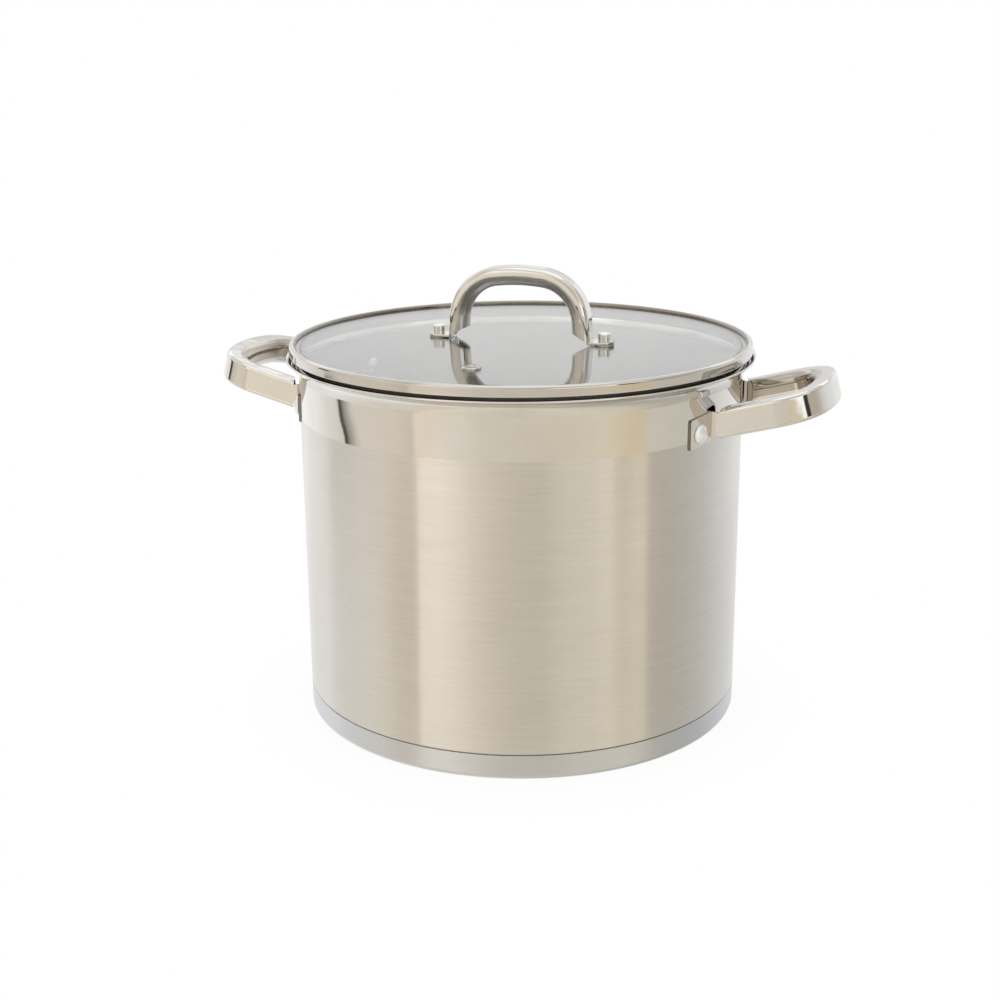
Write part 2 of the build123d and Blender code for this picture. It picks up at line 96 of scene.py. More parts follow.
class Shell:
    def __init__(self):
        self.verts, self.faces, self.normals, self.mats = [], [], [], []
        self.index = {}

    def vert(self, p):
        """Index of the vertex at p, shared by every face that meets there."""
        key = (round(p[0], 4), round(p[1], 4), round(p[2], 4))
        if key not in self.index:
            self.index[key] = len(self.verts)
            self.verts.append((p[0] * MM, p[1] * MM, p[2] * MM))
        return self.index[key]

    def face(self, points, normals, mat=0):
        ids, kept = [], []
        for p, normal in zip(points, normals):
            i = self.vert(p)
            if i not in ids:
                ids.append(i)
                kept.append(normal)
        if len(ids) < 3:
            return
        # wind the face to agree with its normals
        a, b, c = (Vector(self.verts[i]) for i in ids[:3])
        facing = (b - a).cross(c - a)
        if len(ids) > 3:
            d = Vector(self.verts[ids[3]])
            facing = (c - a).cross(d - b)
        total = Vector((0, 0, 0))
        for normal in kept:
            total += Vector(normal)
        if facing.dot(total) < 0:
            ids.reverse()
            kept.reverse()
        self.faces.append(ids)
        self.normals.extend(kept)
        self.mats.append(mat)

    def make(self, name, materials, body, node):
        """Makes the object, which rides on body and replaces the CAD node."""
        mesh = bpy.data.meshes.new(name)
        mesh.from_pydata(self.verts, [], self.faces)
        for mat in materials:
            mesh.materials.append(mat)
        mesh.polygons.foreach_set("material_index", self.mats)
        mesh.polygons.foreach_set("use_smooth", [True] * len(self.faces))
        mesh.update()
        mesh.normals_split_custom_set([Vector(n).normalized() for n in self.normals])
        mesh.update()
        ob = bpy.data.objects.new(name, mesh)
        bpy.context.scene.collection.objects.link(ob)
        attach(ob, body)
        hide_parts(node)


def turn_between(u, w):
    return atan2(u.x * w.y - u.y * w.x, u.dot(w))


def rounded(corners, closed=True, seg=8, step=None):
    """Polygon with rounded corners, as primitives. Corners are (a, b, radius[, material])
    and run anticlockwise, so the normal is on the right of the travel. A corner's
    material also covers the edge after it; step divides long edges."""
    count = len(corners)
    mats = [row[3] if len(row) > 3 else 0 for row in corners]
    pts = [Vector(row[:2]) for row in corners]
    ends = []  # where each corner's rounding starts and stops
    for i in range(count):
        before, here, after = pts[i - 1], pts[i], pts[(i + 1) % count]
        radius = corners[i][2]
        into, away = (here - before).normalized(), (after - here).normalized()
        turn = turn_between(into, away)
        if (not closed and i in (0, count - 1)) or radius <= 0 or abs(turn) < 1e-6:
            ends.append((here, here))
        else:
            cut = radius * tan(abs(turn) / 2)
            ends.append((here - into * cut, here + away * cut))
    prims = []
    for i in range(count if closed else count - 1):
        j = (i + 1) % count
        a, b = ends[i][1], ends[j][0]
        length = (b - a).length
        if length > 1e-6:
            d = (b - a).normalized()
            k = max(1, int(length / step)) if step else 1
            edge = [tuple(a + (b - a) * (q / k)) for q in range(k + 1)]
            prims.append((edge, [(d.y, -d.x)] * (k + 1), mats[i]))
        if not closed and j == count - 1:
            continue
        radius = corners[j][2]
        start, stop = ends[j]
        if (stop - start).length > 1e-6:
            u = (pts[j] - start).normalized()
            turn = turn_between(u, (stop - pts[j]).normalized())
            side = 1 if turn > 0 else -1
            centre = start + Vector((-u.y, u.x)) * (radius * side)
            a0 = atan2(start.y - centre.y, start.x - centre.x)
            bend, normals = [], []
            k = max(seg, int(abs(turn) / radians(6)))
            for q in range(k + 1):
                an = a0 + turn * q / k
                bend.append((centre.x + radius * cos(an), centre.y + radius * sin(an)))
                normals.append((side * cos(an), side * sin(an)))
            prims.append((bend, normals, mats[j]))
    return prims


def arc(centre, radius, a0, a1, out=1, k=24, mat=0):
    """Arc primitive of k pieces; angles in degrees; out is 1 if the normal points away
    from the centre, -1 if towards it."""
    pts, normals = [], []
    for q in range(k + 1):
        an = radians(a0 + (a1 - a0) * q / k)
        pts.append((centre[0] + radius * cos(an), centre[1] + radius * sin(an)))
        normals.append((out * cos(an), out * sin(an)))
    return (pts, normals, mat)


def line(a, b, mat=0, k=1, flip=1):
    """Straight primitive of k pieces, with its normal on the right (flip=-1: left)."""
    d = Vector((b[0] - a[0], b[1] - a[1])).normalized()
    pts = [(a[0] + (b[0] - a[0]) * q / k, a[1] + (b[1] - a[1]) * q / k) for q in range(k + 1)]
    return (pts, [(d.y * flip, -d.x * flip)] * (k + 1), mat)


def revolve(mesh, prims, seg=ROUND_SEGMENTS, origin=(0, 0, 0), way=None):
    """Turns (r, z) primitives through origin about Z, or about the direction way."""
    circle = [(cos(2 * pi * i / seg), sin(2 * pi * i / seg)) for i in range(seg)]
    if way is None:
        ex, ey, ez = Vector((1, 0, 0)), Vector((0, 1, 0)), Vector((0, 0, 1))
    else:
        ez = Vector(way).normalized()
        ex = ez.orthogonal().normalized()
        ey = ez.cross(ex)
    origin = Vector(origin)

    def place(rz, i):
        c, s = circle[i % seg]
        return origin + ex * (rz[0] * c) + ey * (rz[0] * s) + ez * rz[1]

    def turned(rz, i):
        c, s = circle[i % seg]
        return ex * (rz[0] * c) + ey * (rz[0] * s) + ez * rz[1]

    for pts, normals, mat in prims:
        for q in range(len(pts) - 1):
            for i in range(seg):
                corners = ((q, i), (q, i + 1), (q + 1, i + 1), (q + 1, i))
                mesh.face([place(pts[p], j) for p, j in corners],
                          [turned(normals[p], j) for p, j in corners], mat)


def section_at(swept, point, push):
    """Place of a section point on a frame, pushed along the frame's tangent."""
    origin, tangent, ea, eb = swept
    return origin + ea * point[0] + eb * point[1] + tangent * push


def sweep(mesh, prims, frames, travel, flip=1):
    """Sweeps a section along frames (origin, tangent, ea, eb). travel(a, b) moves each
    section point along the tangent at the first frame, and back at the last."""
    last = len(frames) - 1
    for pts, normals, mat in prims:
        for q in range(len(pts) - 1):
            for i in range(last):
                quad, quad_normals = [], []
                for fi, qi in ((i, q), (i, q + 1), (i + 1, q + 1), (i + 1, q)):
                    sign = 1 if fi == 0 else -1 if fi == last else 0
                    quad.append(section_at(frames[fi], pts[qi], sign * travel(*pts[qi])))
                    ea, eb = frames[fi][2:]
                    na, nb = normals[qi]
                    quad_normals.append((ea * na + eb * nb) * flip)
                mesh.face(quad, quad_normals, mat)


def section_points(prims):
    """The section's points in order, without repeats."""
    def same(p, q):
        return abs(p[0] - q[0]) + abs(p[1] - q[1]) < 1e-6

    out = []
    for pts, _, _ in prims:
        for p in pts:
            if not out or not same(out[-1], p):
                out.append(p)
    if same(out[0], out[-1]):
        out.pop()
    return out


def hollow_sweep(mesh, outer, inner, frames, travel, end_normals, skin=None):
    """Sweeps a tube and closes the wall at both ends. skin, if given, is the outer
    section with extra points, used for the swept face."""
    sweep(mesh, skin or outer, frames, travel)
    sweep(mesh, inner, frames, travel, flip=-1)
    outer, inner = section_points(outer), section_points(inner)
    for swept, sign, normal in zip((frames[0], frames[-1]), (1, -1), end_normals):
        for q in range(len(outer)):
            r = (q + 1) % len(outer)
            quad = [section_at(swept, p, sign * travel(*p))
                    for p in (outer[q], outer[r], inner[r], inner[q])]
            mesh.face(quad, [normal] * 4)


def arc_path(centre, radius, a0, a1):
    """(point, direction of travel) along an arc in steps of about 1.5 degrees, leaving
    out its start; angles in radians."""
    k = max(2, int(abs(a1 - a0) / radians(1.5)))
    way = 1 if a1 > a0 else -1
    path = []
    for q in range(1, k + 1):
        a = a0 + (a1 - a0) * q / k
        path.append(((centre[0] + radius * cos(a), centre[1] + radius * sin(a)),
                     (-way * sin(a), way * cos(a))))
    return path


# ---------------------------------------------------------------------------
# Materials
# ---------------------------------------------------------------------------


class Nodes:
    """Short-hand for building a node tree. Values may be numbers or output sockets."""

    def __init__(self, tree):
        self.tree = tree
        tree.nodes.clear()

    def new(self, kind, inputs=None, **props):
        node = self.tree.nodes.new(kind)
        for name, value in props.items():
            setattr(node, name, value)
        for name, value in (inputs or {}).items():
            if isinstance(value, bpy.types.NodeSocket):
                self.tree.links.new(value, node.inputs[name])
            else:
                node.inputs[name].default_value = value
        return node

    def math(self, op, *values):
        return self.new("ShaderNodeMath", dict(enumerate(values)), operation=op).outputs[0]

    def plus(self, a, b):
        return self.math("ADD", a, b)

    def times(self, a, b):
        return self.math("MULTIPLY", a, b)

    def remap(self, value, span, to=(0.0, 1.0), kind="LINEAR"):
        """Maps value's span onto to, held at both ends."""
        inputs = dict(enumerate((value, *span, *to)))
        return self.new("ShaderNodeMapRange", inputs, interpolation_type=kind).outputs[0]

    def ease(self, value, span, to=(0.0, 1.0)):
        return self.remap(value, span, to, "SMOOTHSTEP")

    def window(self, value, rise, fall):
        """1 between the two spans, easing to 0 outside them."""
        return self.times(self.ease(value, rise), self.ease(value, fall, (1.0, 0.0)))

    def mix(self, fac, a, b, blend="MIX"):
        return self.new("ShaderNodeMix", {0: fac, 6: a, 7: b},
                        data_type="RGBA", blend_type=blend).outputs[2]

    def mix_shader(self, fac, a, b):
        return self.new("ShaderNodeMixShader", {0: fac, 1: a, 2: b}).outputs[0]

    def noise(self, vector, scale, detail, rough):
        return self.new("ShaderNodeTexNoise", {
            "Vector": vector, "Scale": scale, "Detail": detail, "Roughness": rough,
        }).outputs[0]

    def bump(self, height, strength, distance):
        return self.new("ShaderNodeBump", {
            "Strength": strength, "Distance": distance, "Height": height,
        }).outputs[0]

    def split(self, vector):
        return self.new("ShaderNodeSeparateXYZ", {0: vector}).outputs

    def ramp(self, fac, stops):
        """Colour ramp with stops (position, (red, green, blue))."""
        node = self.new("ShaderNodeValToRGB", {0: fac})
        elements = node.color_ramp.elements
        while len(elements) < len(stops):
            elements.new(0.5)
        for element, (position, colour) in zip(elements, stops):
            element.position = position
            element.color = (*colour, 1)
        return node.outputs[0]

    def object_mm(self):
        """Object-space position in millimetres."""
        coords = self.new("ShaderNodeTexCoord").outputs["Object"]
        return self.new("ShaderNodeVectorMath", {0: coords, "Scale": 1000.0},
                        operation="SCALE").outputs[0]

    def principled(self, inputs):
        return self.new("ShaderNodeBsdfPrincipled", inputs).outputs[0]

    def output(self, shader):
        self.new("ShaderNodeOutputMaterial", {0: shader})


def material(name):
    mat = bpy.data.materials.new(name)
    mat.use_nodes = True
    return mat, Nodes(mat.node_tree)


def tone(tint, factors):
    """Tint scaled channel by channel, with alpha."""
    return tuple(min(1, c * f) for c, f in zip(tint, factors)) + (1,)


def polished_steel(name, tint=(0.66, 0.645, 0.62), rough=0.05, wave=0.0, wave_scale=0.035):
    """Mirror-polished stainless steel: faint buffing haze, slight waviness, fine wipe marks."""
    mat, nodes = material(name)
    place = nodes.object_mm()
    haze = nodes.noise(place, scale=0.06, detail=3.0, rough=0.55)
    buff = nodes.noise(place, scale=1.4, detail=4.0, rough=0.65)
    low = nodes.noise(place, scale=wave_scale, detail=1.0, rough=0.4)
    colour = nodes.mix(nodes.remap(haze, (0.3, 0.7)),
                       tone(tint, (0.97, 0.97, 0.965)), tone(tint, [1.02] * 3))
    roughness = nodes.plus(nodes.remap(haze, (0.3, 0.75), to=(rough * 0.6, rough * 1.3)),
                           nodes.remap(buff, (0.45, 0.8), to=(0.0, rough * 0.5)))
    nodes.output(nodes.principled({
        "Metallic": 1.0,
        "Base Color": colour,
        "Roughness": roughness,
        "Normal": nodes.bump(low, strength=wave, distance=0.004),
        "Specular Tint": (1, 1, 1, 1),
    }))
    return mat


def brushed_steel(name, tint=(0.66, 0.64, 0.61), rough=0.34, aniso=0.96, line_pitch=0.32,
                  shade=0.05, lined=True, wide=None):
    """Steel brushed round the pot: fine lines along the circumference, which spread
    highlights up and down. wide is the roughness of a second, broader lobe."""
    mat, nodes = material(name)
    x, y, z = nodes.split(nodes.object_mm())
    # unrolled coordinates: along the brushing, and across it
    along = nodes.times(nodes.math("ARCTAN2", y, x), POT_R)
    across = nodes.plus(z, nodes.math("SQRT", nodes.plus(nodes.times(x, x), nodes.times(y, y))))

    def streaks(along_scale, across_scale, offset, detail, noise_rough):
        place = nodes.new("ShaderNodeCombineXYZ", {
            0: nodes.times(along, along_scale), 1: nodes.times(across, across_scale), 2: offset,
        }).outputs[0]
        return nodes.noise(place, 1.0, detail, noise_rough)

    fine = streaks(0.045, 1.0 / line_pitch, offset=0.0, detail=3.0, noise_rough=0.6)
    middle = streaks(0.04, 1.1, offset=11.7, detail=3.0, noise_rough=0.55)
    broad = streaks(0.018, 0.28, offset=7.3, detail=4.0, noise_rough=0.6)
    cloud = streaks(0.02, 0.012, offset=3.1, detail=2.0, noise_rough=0.5)
    blend = nodes.times(nodes.remap(cloud, (0.3, 0.7)), 0.15)
    # streaks, the span of them that shows, and their weight
    for layer, span, weight in (
        (broad, (0.3, 0.7), 0.2), (middle, (0.3, 0.7), 0.3), (fine, (0.25, 0.75), 0.35),
    ):
        blend = nodes.plus(nodes.times(nodes.remap(layer, span), weight), blend)
    colour = nodes.mix(blend, tone(tint, [1 - shade * 1.6] * 3), tone(tint, [1 + shade * 1.2] * 3))
    roughness = nodes.plus(rough - 0.03, nodes.times(nodes.remap(broad, (0.3, 0.7)), 0.06))
    inputs = {
        "Metallic": 1.0,
        "Base Color": colour,
        "Anisotropic": aniso,
        "Anisotropic Rotation": 0.25,
        "Tangent": nodes.new("ShaderNodeTangent", direction_type="RADIAL", axis="Z").outputs[0],
    }
    if lined:
        inputs["Normal"] = nodes.bump(fine, strength=1.0, distance=0.00003)
    lobes = [
        nodes.principled({**inputs, "Roughness": nodes.plus(roughness, extra)})
        for extra in ((0.0,) if wide is None else (0.0, wide - rough))
    ]
    nodes.output(lobes[0] if wide is None else nodes.mix_shader(0.45, *lobes))
    return mat


def lid_glass_material(name):
    """Clear glass with a faint cool body colour and barely visible wipe haze."""
    mat, nodes = material(name)
    place = nodes.object_mm()
    haze = nodes.noise(place, scale=0.05, detail=3.0, rough=0.6)
    low = nodes.noise(place, scale=0.012, detail=1.0, rough=0.4)
    nodes.output(nodes.principled({
        "Base Color": (0.93, 0.95, 0.94, 1),
        "Transmission Weight": 1.0,
        "IOR": 1.52,
        "Roughness": nodes.remap(haze, (0.35, 0.8), to=(0.0, 0.02)),
        "Normal": nodes.bump(low, strength=0.012, distance=0.004),
    }))
    return mat


def silicone_material(name):
    """Milky, slightly translucent rubber."""
    mat, nodes = material(name)
    grain = nodes.noise(nodes.object_mm(), scale=2.5, detail=3.0, rough=0.6)
    nodes.output(nodes.principled({
        "Base Color": nodes.mix(grain, (0.70, 0.70, 0.67, 1), (0.80, 0.80, 0.78, 1)),
        "Roughness": nodes.remap(grain, (0.3, 0.7), to=(0.42, 0.6)),
        "Transmission Weight": 0.35,
        "IOR": 1.41,
        "Normal": nodes.bump(grain, strength=0.1, distance=0.0001),
    }))
    return mat


def satin_metal(name, tint, rough):
    """Blasted or turned metal: fine isotropic grain."""
    mat, nodes = material(name)
    place = nodes.object_mm()
    grain = nodes.noise(place, scale=3.0, detail=4.0, rough=0.65)
    cloud = nodes.noise(place, scale=0.15, detail=2.0, rough=0.5)
    blend = nodes.plus(nodes.times(grain, 0.7), nodes.times(cloud, 0.3))
    nodes.output(nodes.principled({
        "Metallic": 1.0,
        "Base Color": nodes.mix(blend, tone(tint, [0.93] * 3), tone(tint, [1.05] * 3)),
        "Roughness": nodes.remap(grain, (0.3, 0.7), to=(rough * 0.85, rough * 1.15)),
        "Normal": nodes.bump(grain, strength=0.12, distance=0.00005),
    }))
    return mat


mirror_band = polished_steel("mirror_band", rough=0.045, wave=0.03)
mirror_rim = polished_steel("mirror_rim")
mirror_ring = polished_steel("mirror_ring", tint=(0.58, 0.565, 0.54))
mirror_handle = polished_steel("mirror_handle", rough=0.04, wave=0.02, wave_scale=0.09)
mirror_arch = polished_steel("mirror_arch", rough=0.04, wave=0.035, wave_scale=0.09)
vent_steel = polished_steel("vent_steel", tint=(0.50, 0.475, 0.435), rough=0.16)
mirror_small = polished_steel("mirror_small", tint=(0.80, 0.79, 0.77), rough=0.07)
buffed_handle = polished_steel("buffed_handle", tint=(0.46, 0.42, 0.37), rough=0.16,
                               wave=0.03, wave_scale=0.09)
# rougher steel for the side handle tabs' cut edges; its dark tint is painted shade for the
# shadowed edge lines
cut_edge_painted_shade = polished_steel("cut_edge_painted_shade", tint=(0.29, 0.275, 0.25), rough=0.3)
# darker steel on the lid ring lip's inner edge: painted shade for the dark line where the lip
# meets the glass
lip_edge_painted_shade = polished_steel("lip_edge_painted_shade", tint=(0.32, 0.30, 0.27), rough=0.25)
seam_shade = polished_steel("seam_shade", tint=(0.26, 0.25, 0.235), rough=0.4)
# near-black steel under the lid band: painted shade for the shadowed gap between band and rim
ring_under_painted_shade = polished_steel("ring_under_painted_shade", tint=(0.10, 0.095, 0.09), rough=0.45)
satin_wall = brushed_steel("satin_wall", rough=0.19, aniso=1.0, shade=0.075,
                           lined=False, wide=0.32)
satin_inside = brushed_steel("satin_inside", tint=(0.60, 0.59, 0.575), rough=0.42,
                             aniso=0.8, line_pitch=0.5)
satin_floor = brushed_steel("satin_floor", tint=(0.62, 0.61, 0.60), rough=0.4,
                            aniso=0.75, line_pitch=0.5)
satin_base = brushed_steel("satin_base", tint=(0.585, 0.60, 0.625), rough=0.30,
                           aniso=0.6, line_pitch=0.4)
rivet_satin = satin_metal("rivet_satin", tint=(0.90, 0.945, 1.0), rough=0.42)
washer_satin = satin_metal("washer_satin", tint=(0.62, 0.61, 0.6), rough=0.3)
core_rolled = satin_metal("core_rolled", tint=(0.78, 0.78, 0.78), rough=0.4)
glass_clear = lid_glass_material("glass_clear")
silicone = silicone_material("silicone")

# ---------------------------------------------------------------------------
# Pot: floor, corner, wall, mirror band and pouring rim as one thin shell
# ---------------------------------------------------------------------------
LOW_R = round(CAP_R - 0.7, 2)  # outside radius of the part that sits in the base capsule
FLOOR_BEND_R = 6.0
SEAM_R = 0.2  # rounded edge of the wall above the capsule
SEAM_LIFT = 0.45  # height of that edge's centre over the capsule
FLARE_R = 9.0
FLARE_C = (POT_R + FLARE_R, 188.1)
FLARE_TURN, FLARE_STEPS = 73, 40  # degrees the rim turns out, before its rounded edge
LIP_TURN = 75  # the rounded edge reaches this far
CREASE_STEP = 2  # arc step where the soft crease lies
CREASE_NORMAL, CREASE_END = 8.5, 18.0  # normal's turn at the crease; where it is true again


def flare(radius, angle):
    a = radians(angle)
    return (FLARE_C[0] - radius * cos(a), FLARE_C[1] + radius * sin(a))


def flare_outside(band, rim):
    """The spun rim leaves the straight wall at a soft crease, shaded by its normals."""
    pts = arc(FLARE_C, FLARE_R, 180, 180 - FLARE_TURN, k=FLARE_STEPS)[0]
    crease = FLARE_TURN * CREASE_STEP / FLARE_STEPS
    normals = []
    for q in range(CREASE_STEP, len(pts)):
        t = FLARE_TURN * q / FLARE_STEPS
        if t < CREASE_END:
            slope = (CREASE_END - CREASE_NORMAL) / (CREASE_END - crease)
            t = CREASE_NORMAL + (t - crease) * slope
        normals.append((cos(radians(t)), -sin(radians(t))))
    return [(pts[:CREASE_STEP + 1], [(1.0, 0.0)] * (CREASE_STEP + 1), band),
            (pts[CREASE_STEP:], normals, rim)]


def flare_edge(mat):
    """Half ellipse that rounds the rim's edge, from its outside to its inside."""
    a, b = Vector(flare(FLARE_R, FLARE_TURN)), Vector(flare(FLARE_R + WALL_T, FLARE_TURN))
    tip_a, tip_b = flare(FLARE_R, LIP_TURN), flare(FLARE_R + WALL_T, LIP_TURN)
    tip = Vector(((tip_a[0] + tip_b[0]) / 2, (tip_a[1] + tip_b[1]) / 2))
    mid = (a + b) / 2
    half = (b - a).length / 2
    reach = (tip - mid).length
    across = (b - a).normalized()
    forward = Vector((across.y, -across.x))
    pts, normals = [], []
    for q in range(17):
        an = -pi / 2 + pi * q / 16
        pts.append(tuple(mid + across * (half * sin(an)) + forward * (reach * cos(an))))
        normal = across * (sin(an) / half) + forward * (cos(an) / reach)
        normals.append(tuple(normal.normalized()))
    return (pts, normals, mat)


def pot_shell():
    """Outline in (r, z): outside from the floor's centre up to the rim, then the inside."""
    wall, band, rim, base, inside, floor_in, seam = range(7)
    bend_c = (LOW_R - FLOOR_BEND_R, FLOOR_Z + FLOOR_BEND_R)
    seam_z = CAP_TOP + SEAM_LIFT
    in_r, low_in_r = POT_R - WALL_T, LOW_R - WALL_T
    prims = [
        line((0, FLOOR_Z), (bend_c[0], FLOOR_Z), base, 6),
        arc(bend_c, FLOOR_BEND_R, -90, 0, 1, 12, base),
        line((LOW_R, bend_c[1]), (LOW_R, CAP_TOP), base),
        line((LOW_R, CAP_TOP), (POT_R - SEAM_R, seam_z - SEAM_R), seam),
        arc((POT_R - SEAM_R, seam_z), SEAM_R, -90, 0, 1, 5, seam),
        line((POT_R, seam_z), (POT_R, seam_z + 0.3), seam),
        line((POT_R, seam_z + 0.3), (POT_R, POLISH_Z), wall, 6),
        line((POT_R, POLISH_Z), (POT_R, FLARE_C[1]), band, 4),
        *flare_outside(band, rim),
        flare_edge(rim),
        arc(FLARE_C, FLARE_R + WALL_T, 180 - FLARE_TURN, 180, 1, FLARE_STEPS, rim),
        line((in_r, FLARE_C[1]), (in_r, CAP_TOP + 2.2), inside, 8),
        line((in_r, CAP_TOP + 2.2), (low_in_r, CAP_TOP + 0.6), inside),
        line((low_in_r, CAP_TOP + 0.6), (low_in_r, bend_c[1]), inside),
        arc(bend_c, FLOOR_BEND_R - WALL_T, 0, -90, -1, 14, floor_in),
        line((bend_c[0], FLOOR_Z + WALL_T), (0, FLOOR_Z + WALL_T), floor_in, 10),
    ]
    mesh = Shell()
    revolve(mesh, prims)
    mesh.make(
        "pot_shell",
        [satin_wall, mirror_band, mirror_rim, satin_base, satin_inside, satin_floor, seam_shade],
        "pot", "pot_body",
    )


def base_capsule():
    side_t, bottom_t = 0.65, 0.8
    mesh = Shell()
    revolve(mesh, rounded([
        # r, z, rounding
        (0, 0, 0), (CAP_R, 0, 3.0), (CAP_R, CAP_TOP, 0.25),
        (CAP_R - side_t, CAP_TOP, 0), (CAP_R - side_t, bottom_t, 2.3), (0, bottom_t, 0),
    ], closed=False, step=20))
    mesh.make("base_capsule", [satin_base], "pot", "base_cap")


pot_shell()
base_capsule()

# ---------------------------------------------------------------------------
# Side handles: a hollow loop that rises outwards, with two riveted tabs. In the
# loop's plane u runs away from the pot and v sideways.
# ---------------------------------------------------------------------------
TILT = radians(14.8)
HANDLE_Z = 174.2  # height where the loop's plane meets the wall
ARM_MID, ARM_W, ARM_H, HANDLE_T = 33.5, 13.0, 15.0, 1.1
ARM_OUT_ROUND, ARM_IN_ROUND = 2.2, 5.6
ARM_START, ARM_STATION = 6.0, 16.0  # u of the first two frames
LOOP_END, CORNER_R, BOW_R = 46.0, 19.0, 75.0
CORNER_TURN = acos((ARM_MID - CORNER_R) / (BOW_R - CORNER_R))
STRAIGHT_END = LOOP_END - BOW_R + (BOW_R - CORNER_R) * sin(CORNER_TURN)
OUT_Y = ARM_MID + ARM_W / 2
TAB_R = POT_R + HANDLE_T
BEND_X = sqrt(TAB_R**2 - OUT_Y**2)  # where the arm's outer side meets the tab
BEND_R = 2.4
# the arm's end is cut on a slant, from its outer side to its inner side
CUT_OUT_X, CUT_IN_X = BEND_X + 3.2, 122.6
CUT_RUN = CUT_IN_X - CUT_OUT_X
TAB_TIP = radians(28.0)  # angle round the pot of the tab's end
TAB_TIP_ROUND = 1.2
TAB_EDGE_ROUND = 0.28
MIRROR, BUFFED, CUT_SHADE = range(3)  # material indices


def loop_frames(hand_u, hand_v, hand_w, origin):
    """Frames along the loop's mid line, from one arm's start to the other's."""
    bow_turn = pi / 2 - CORNER_TURN
    path = [((u, -ARM_MID), (1, 0)) for u in (ARM_START, ARM_STATION, STRAIGHT_END)]
    path += arc_path((STRAIGHT_END, -ARM_MID + CORNER_R), CORNER_R,
                     -pi / 2, -pi / 2 + CORNER_TURN)
    path += arc_path((LOOP_END - BOW_R, 0), BOW_R, -bow_turn, bow_turn)
    path += arc_path((STRAIGHT_END, ARM_MID - CORNER_R), CORNER_R, bow_turn, pi / 2)
    path += [((u, ARM_MID), (-1, 0)) for u in (ARM_STATION, ARM_START)]
    return [
        (origin + hand_u * u + hand_v * v, hand_u * tu + hand_v * tv,
         hand_u * tv - hand_v * tu, hand_w)
        for (u, v), (tu, tv) in path
    ]


def handle_section(inset, side_mat):
    """Arm section; a points to the loop's outside. The side towards the loop's inside
    is always buffed."""
    w, h = ARM_W / 2 - inset, ARM_H / 2 - inset
    out_round, in_round = ARM_OUT_ROUND - inset, ARM_IN_ROUND - inset
    return rounded([
        (w, -h, out_round, side_mat), (w, h, out_round, side_mat),
        (-w, h, in_round, BUFFED), (-w, -h, in_round, side_mat),
    ], seg=10)


def arm_travel(a, b):
    """From the arm's first frame to its slanted end, along the arm."""
    x = CUT_OUT_X + (OUT_Y - (ARM_MID + a)) / ARM_W * CUT_RUN
    return (x - POT_R + b * sin(TILT)) / cos(TILT) - ARM_START


def tab_plan():
    """(point on the outer face, outward normal) along the tab, for the arm at +y: the
    arm's outer wall bent round the pot."""
    turn = pi / 2 - atan2(OUT_Y, BEND_X)
    plan = [(Vector((CUT_OUT_X, OUT_Y)), Vector((0, 1)))]
    centre = Vector((BEND_X + BEND_R * tan(turn / 2), OUT_Y + BEND_R))
    for q in range(13):
        an = -pi / 2 - turn * q / 12
        d = Vector((cos(an), sin(an)))
        plan.append((centre + d * BEND_R, -d))
    last = plan[-1][0]
    a0 = atan2(last.y, last.x)
    for q in range(1, 17):
        an = a0 + (TAB_TIP - a0) * q / 16
        d = Vector((cos(an), sin(an)))
        plan.append((d * TAB_R, d))
    return plan


def tab_rows():
    """(point, outward normal, low z, high z) along the tab."""
    half_strip = (ARM_H / 2 - ARM_OUT_ROUND) / cos(TILT)
    half_tab = ARM_H / 2 / cos(TILT)
    root_x, arm_x = BEND_X - 0.5, BEND_X + 4.0
    tip_z = RIVET_Z - 0.6
    root_z = HANDLE_Z + (root_x - POT_R) * tan(TILT)
    arm_z = root_z + 4.5 * tan(TILT)
    keys = [  # x, low z, high z
        (POT_R * cos(TAB_TIP) - 2.0, tip_z - half_tab, tip_z + half_tab),
        (root_x, root_z - half_tab, root_z + half_tab),
        (arm_x, arm_z - half_strip, arm_z + half_strip),
    ]

    def edges(x):
        (x0, l0, h0), (x1, l1, h1) = keys[:2] if x <= root_x else keys[1:]
        f = max(0.0, min(1.0, (x - x0) / (x1 - x0)))
        return l0 + (l1 - l0) * f, h0 + (h1 - h0) * f

    plan = tab_plan()
    lengths = [0.0]
    for (p, _), (q, _) in zip(plan, plan[1:]):
        lengths.append(lengths[-1] + (q - p).length)
    total = lengths[-1]
    stations = [(p, n, s) for (p, n), s in zip(plan, lengths)]
    # finer steps at the rounded tip
    for q in range(1, 8):
        s = total - TAB_TIP_ROUND + TAB_TIP_ROUND * q / 8
        an = TAB_TIP - (total - s) / TAB_R
        d = Vector((cos(an), sin(an)))
        stations.append((d * TAB_R, d, s))
    stations.sort(key=lambda station: station[2])
    rows = []
    for p, n, s in stations:
        low, high = edges(p.x)
        left = total - s
        if left < TAB_TIP_ROUND:
            span = TAB_TIP_ROUND**2 - (TAB_TIP_ROUND - left) ** 2
            inset = TAB_TIP_ROUND - sqrt(max(0.0, span))
            low, high = low + inset, high - inset
        rows.append((p, n, low, high))
    return rows


def tab_ring(to_pot, row):
    """(point, normal) round the tab's section: ten on the outer face from bottom to top,
    with rounded long edges, then two on the inner face."""
    p, n, low, high = row
    ring = []
    for z, way, steps in ((low, -1, range(5)), (high, 1, range(4, -1, -1))):
        for q in steps:
            an = radians(90 - 90 * q / 4)  # 90: facing up or down, 0: facing out
            off = n * (-(TAB_EDGE_ROUND - TAB_EDGE_ROUND * cos(an)))
            height = z - way * (TAB_EDGE_ROUND - TAB_EDGE_ROUND * sin(an))
            ring.append((to_pot(p + off, height), to_pot(n * cos(an), way * sin(an))))
    for z in (high, low):
        ring.append((to_pot(p - n * HANDLE_T, z), to_pot(-n, 0)))
    return ring


